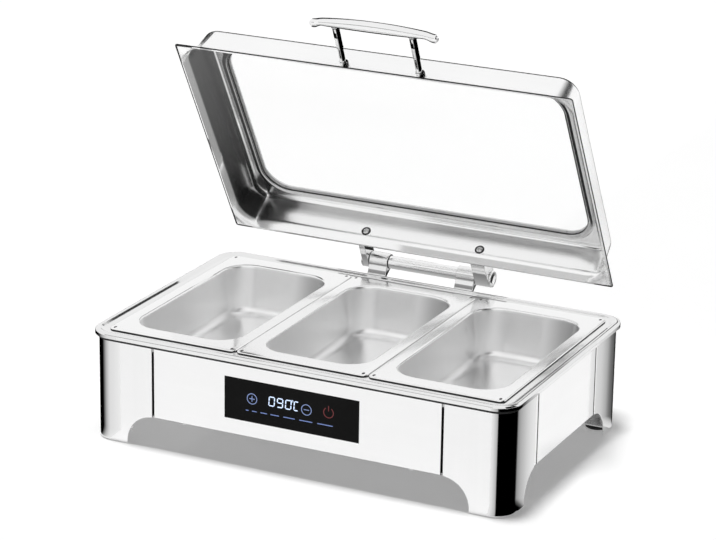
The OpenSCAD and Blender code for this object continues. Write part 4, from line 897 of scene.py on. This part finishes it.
def post():
    """Turned post: foot ring on the wall, slim lower part, a bead and a fuller upper part under the grip."""
    low = [[4.9, 0.0], [4.9, 0.6], [4.5, 1.0], [3.9, 1.2], [3.9, 21.0]]
    high = [[4.0, 23.0], [POST_R, 24.0], [POST_R, POST_L - 2.0], [POST_R + 0.8, POST_L]]
    return moved(lathe(np.concatenate([low, arc(4.0, 22.0, 0.7, -90, 90, 6), high]), 40), TO_REAR)


def post_flag(side, x):
    """A dark card curved round a post, that the post shows; its first few degrees are half bright."""
    r, low, high = 6.6, 1.0, 50.0
    a = np.radians(np.linspace(-76, 84, 24))
    p = np.concatenate([np.column_stack([r * np.cos(a), np.full(len(a), y), r * np.sin(a)])
                        for y in (low, high)])
    tones = np.tile(np.where(a < math.radians(-66), 0.5, 0.0), 2)
    card(f"post flag {side}", on_front_wall((p, []), x)[0] * MM, 2, tones)


piece("handle_grip_bar", grip(), "lid", HANDLE, "handle_grip", angle=60)
for side, x in (("left", -POST_GAP / 2), ("right", POST_GAP / 2)):
    piece(f"handle_post_{side}_turned", on_front_wall(post(), x), "lid", HANDLE, f"handle_post_{side}")
    post_flag(side, x)
behind = [(x, y, 14.0) for y in (40.0, 72.0) for x in (-92.0, 82.0)]
below = [(x, 38.0, z) for z in (-14.0, 14.0) for x in (-92.0, 82.0)]
for name, places in (("grip flag behind", behind), ("grip flag below", below)):
    card(name, on_front_wall((places, []))[0] * MM, 2, 0.0)


def screw_head(r, h, shank=2.0, length=4.0):
    """Domed screw head: height over a polar grid, with a cross-shaped recess pressed in, on a plain shank."""
    k, m = 16, 64
    rad = np.linspace(r, 0.01, k)[:, None]
    a = np.linspace(0, 2 * np.pi, m, endpoint=False)[None]
    x, y = rad * np.cos(a), rad * np.sin(a)
    z = h * (1 - 0.75 * (rad / r) ** 2)
    near = np.minimum(np.abs(x), np.abs(y)) / (0.17 * r)
    cut = np.clip(1.6 - near, 0, 1) * np.clip(2.4 - 3.6 * rad / r, 0, 1)
    top = np.stack([x, y, z - 0.75 * h * cut], -1).reshape(-1, 3)
    side = [[shank, -length], [shank, 0.0], [r * 0.98, 0.0], [r, h * 0.12]]
    return np.concatenate([lathe(side, m)[0], top]), capped(k + len(side), m)


head, wide = screw_head(r=4.0, h=2.4), screw_head(r=4.4, h=2.6)
washer = lathe([[6.2, 0.0], [6.2, 0.5], [5.7, 0.9], [4.6, 0.9], [4.6, 0.2]])
inner = (0, -LID_SHEET, 0)
heads = [on_front_wall(moved(head, TO_FRONT, inner), x) for x in (-POST_GAP / 2, POST_GAP / 2)]
piece("handle_screw_heads", join(*heads), "lid", SCREW, "handle_screws")
for name, shape, material, slot in (("arm_screw_heads", wide, SCREW, "screw_steel"),
                                    ("arm_screw_washers", washer, RUBBER, "seal_rubber")):
    both = [on_rear_wall(moved(shape, TO_FRONT, inner), x) for x in (-ARM_X, ARM_X)]
    piece(name, join(*both), "lid", material, "arm_screws")


def along_hinge(shape, x=0.0):
    """A turned shape laid along the hinge axis."""
    return moved(shape, ALONG_X, (x, HINGE_Y, HINGE_Z))


def hinge_arm(side, x0, x1):
    """Arm: pad on the lid's wall, tapering web and round knuckle, drawn out along the axis."""
    pad = bar([[0, -3.6], [0, 16.4], [5, 16.4], [5, -3.6]], -11, 11)
    foot = [[ARM_Y + 3.0, ARM_Z - 2.0], [ARM_Y + 3.0, ARM_Z + 8.4]]
    ring = arc(HINGE_Y, HINGE_Z, RING_R, 68, -100, 24)
    web = np.concatenate([foot, ring, [[ARM_Y + 10, HINGE_Z - 9]]])
    return join(on_rear_wall(pad, side * ARM_X), opened(bar(web, x0, x1)))


def barrel():
    """Barrel: a tube with eased ends."""
    ease = 0.5
    half = [[BORE_R, CLAMP_LOW], [TUBE_R - ease, CLAMP_LOW], [TUBE_R, CLAMP_LOW + ease]]
    rest = [[TUBE_R, CLAMP_HIGH - ease], [TUBE_R - ease, CLAMP_HIGH], [BORE_R, CLAMP_HIGH]]
    return along_hinge(pipe(half + rest, 64))


def hinge_caps():
    """End caps: shallow turned discs with a rounded edge and a dished middle, one at each end."""
    edge = [[RING_R - 0.4, 0.0], [RING_R + 0.1, 0.4]]
    p = np.concatenate([edge, arc(RING_R - 0.9, 1.5, 1.0, 0, 90, 6), [[5.0, 2.5], [4.4, 2.1], [0.3, 2.1]]])
    cap = along_hinge(lathe(p, 56), HINGE_HALF)
    return join(cap, flipped(cap, x=-1))


def gap_rings():
    """Dark rings as painted shade in the gaps beside the clamps, from their place along the hinge and their
    radius.
    """
    half, r0 = 0.35, TUBE_R - 0.3
    places = ((CLAMP_LOW + CLAMP_W + half, TUBE_R + 0.5), (CLAMP_HIGH - CLAMP_W - half, TUBE_R + 0.5),
              (CLAMP_LOW - 0.25, RING_R - 0.6), (CLAMP_HIGH + 0.25, RING_R - 0.6))
    return along_hinge(join(*[moved(pipe([[r0, -half], [r, -half], [r, half], [r0, half]], 56), at=(0, 0, x))
                              for x, r in places]))


def bracket(x0):
    """Bracket: plate on the rear panel, arm up behind the rim and clamp ring, in one drawn-out outline."""
    rear, out, foot = BODY_D / 2, BODY_D / 2 + BRACKET_T, RIM_LOW - BRACKET_H
    plate = [[rear, RIM_LOW - 1.5], [rear, foot], [out, foot], [out, RIM_LOW - 24.5],
             [HINGE_Y + 2, RIM_LOW - 4]]
    ring = arc(HINGE_Y, HINGE_Z, RING_R, -20, 200, 40)
    inside = [[rear + 8.5, RIM_LOW + 0.5], [out, RIM_LOW - 1.5]]
    return bar(np.concatenate([filleted(plate, [0, 0, 1.5, 6, 8]), ring, inside]), x0, x0 + CLAMP_W)


for name, side, x0, x1 in (("left", -1, -HINGE_HALF, CLAMP_LOW - 0.5),
                           ("right", 1, CLAMP_HIGH + 0.5, HINGE_HALF)):
    piece(f"hinge_arm_{name}_bar", hinge_arm(side, x0, x1), "lid", HINGE, f"hinge_arm_{name}",
          bevel=0.8)
piece("hinge_barrel_tube", barrel(), "base", HINGE, "hinge_barrel")
piece("hinge_cap_discs", hinge_caps(), "lid", HINGE, "hinge_caps")
# Near-black rings as painted shade in the hinge's gaps
piece("hinge_gap_rings", gap_rings(), "base", HEM, None)
clamps = {"left": CLAMP_LOW, "right": CLAMP_HIGH - CLAMP_W}
for side, x0 in clamps.items():
    piece(f"hinge_bracket_{side}_casting", bracket(x0), "base", BRACKET, f"hinge_bracket_{side}",
          bevel=0.9)
spots = [(x0 + CLAMP_W / 2, BODY_D / 2 + BRACKET_T, RIM_LOW - BRACKET_H * down)
         for x0 in clamps.values() for down in (0.66, 0.88)]
heads = [moved(head, TO_REAR, spot) for spot in spots]
piece("bracket_screw_heads", join(*heads), "base", SCREW, "bracket_screws")


# Control glass and its marks

SEGMENTS = {"0": "abcdef", "9": "abcdfg", "c": "adef"}
# Of the figures: thickness, gap between bars, lean and height; of the key marks: ring, line and bar length
FIGURE_T, FIGURE_GAP, FIGURE_LEAN, FIGURE_H = 1.35, 0.25, 0.06, 11.2
KEY_R, KEY_LINE, KEY_BAR = 7.0, 0.9, 7.4
# Level marks: place across the glass and length
LEVELS = ((0.172, 3), (0.226, 5), (0.297, 7), (0.379, 9), (0.486, 12), (0.61, 13.5), (0.752, 16))


def control_glass():
    """Touch glass: a flat pane with finely ground edges."""
    w, h, t = GLASS_W, GLASS_H, GLASS_T
    v, f = loft([(w, h, 0.8, 0), (w, h, 0.8, t - 0.4), (w - 0.8, h - 0.8, 0.6, t)], 4, ends=True)
    return np.column_stack([v[:, 0] + GLASS_X, -BODY_D / 2 + t - v[:, 2], v[:, 1] + GLASS_Z]), f


def at(u, v):
    """A place on the glass, in millimetres from its middle, from its fractions across and down."""
    return np.array([(u - 0.5) * GLASS_W, (0.5 - v) * GLASS_H])


def band(centre, r, width, a0=0, a1=360):
    """A ring or part of one, as a closed outline."""
    return np.concatenate([arc(*centre, r, a0, a1, 40), arc(*centre, r - width, a1, a0, 40)])


def slab(centre, w, h):
    """A lying bar with round ends, as an outline."""
    x, y = centre
    r = h / 2
    return np.concatenate([arc(x + w / 2 - r, y, r, -90, 90, 6), arc(x - w / 2 + r, y, r, 90, 270, 6)])


def upright(centre, w, h):
    """A standing bar with round ends, as an outline: a lying one with its axes exchanged."""
    return slab(centre[::-1], h, w)[::-1, ::-1]


def figure(char, x, y, w):
    """Seven-part figure: bars with pointed ends, leaning a little."""
    right, top, t, g = w / 2, FIGURE_H / 2, FIGURE_T / 2, FIGURE_GAP

    def lying(a, b, c):
        """A bar from a to b across, at the height c."""
        a, b = a + g, b - g
        return np.array([(a, c), (a + t, c - t), (b - t, c - t), (b, c), (b - t, c + t), (a + t, c + t)])

    def standing(a, b, c):
        """A bar from a to b upwards, at c across."""
        return lying(a, b, c)[::-1, ::-1]

    bars = {"a": lying(-right, right, top), "g": lying(-right, right, 0), "d": lying(-right, right, -top),
            "f": standing(0, top, -right), "b": standing(0, top, right),
            "e": standing(-top, 0, -right), "c": standing(-top, 0, right)}
    return [bars[k] + [x, y] + bars[k][:, 1:] * [FIGURE_LEAN, 0] for k in SEGMENTS[char]]


def glow(name, outlines, material):
    """Flat marks on the glass, a tenth of a millimetre thick, from outlines about its middle."""
    v, f = join(*[bar(p, 0, 0.1) for p in outlines])
    v = np.column_stack([v[:, 1] + GLASS_X, -BODY_D / 2 - v[:, 0], v[:, 2] + GLASS_Z])
    piece(name, (v, f), "base", material, None)


piece("control_glass_pane", control_glass(), "base", BLACK_GLASS, "control_glass")
plus, minus, power, row = at(0.208, 0.433), at(0.614, 0.445), at(0.777, 0.41), at(0.441, 0.405)
ring_and_bar = [[band(p, KEY_R, KEY_LINE), slab(p, KEY_BAR, KEY_LINE)] for p in (plus, minus)]
glow("plus_key_mark", ring_and_bar[0] + [upright(plus, KEY_LINE, KEY_BAR)], KEYS)
glow("minus_key_mark", ring_and_bar[1], KEYS)
glow("power_key_mark", [band(power, KEY_R, 1.1, 125, 415), upright(power + [0, 5.2], 1.1, 7.0)], POWER)
figures = [band(row + [12.4, 5.6], 1.3, 0.6)]
for char, x, w in (("0", -15.4, 7.2), ("9", -4.2, 7.2), ("0", 7.0, 7.2), ("c", 17.6, 5.6)):
    figures += figure(char, row[0] + x, row[1], w)
glow("display_figures", figures, FIGURES)
glow("level_marks", [slab(at(u, 0.722 - 0.02 * (u - 0.4)), w * 1.3, 1.1) for u, w in LEVELS], DASHES)
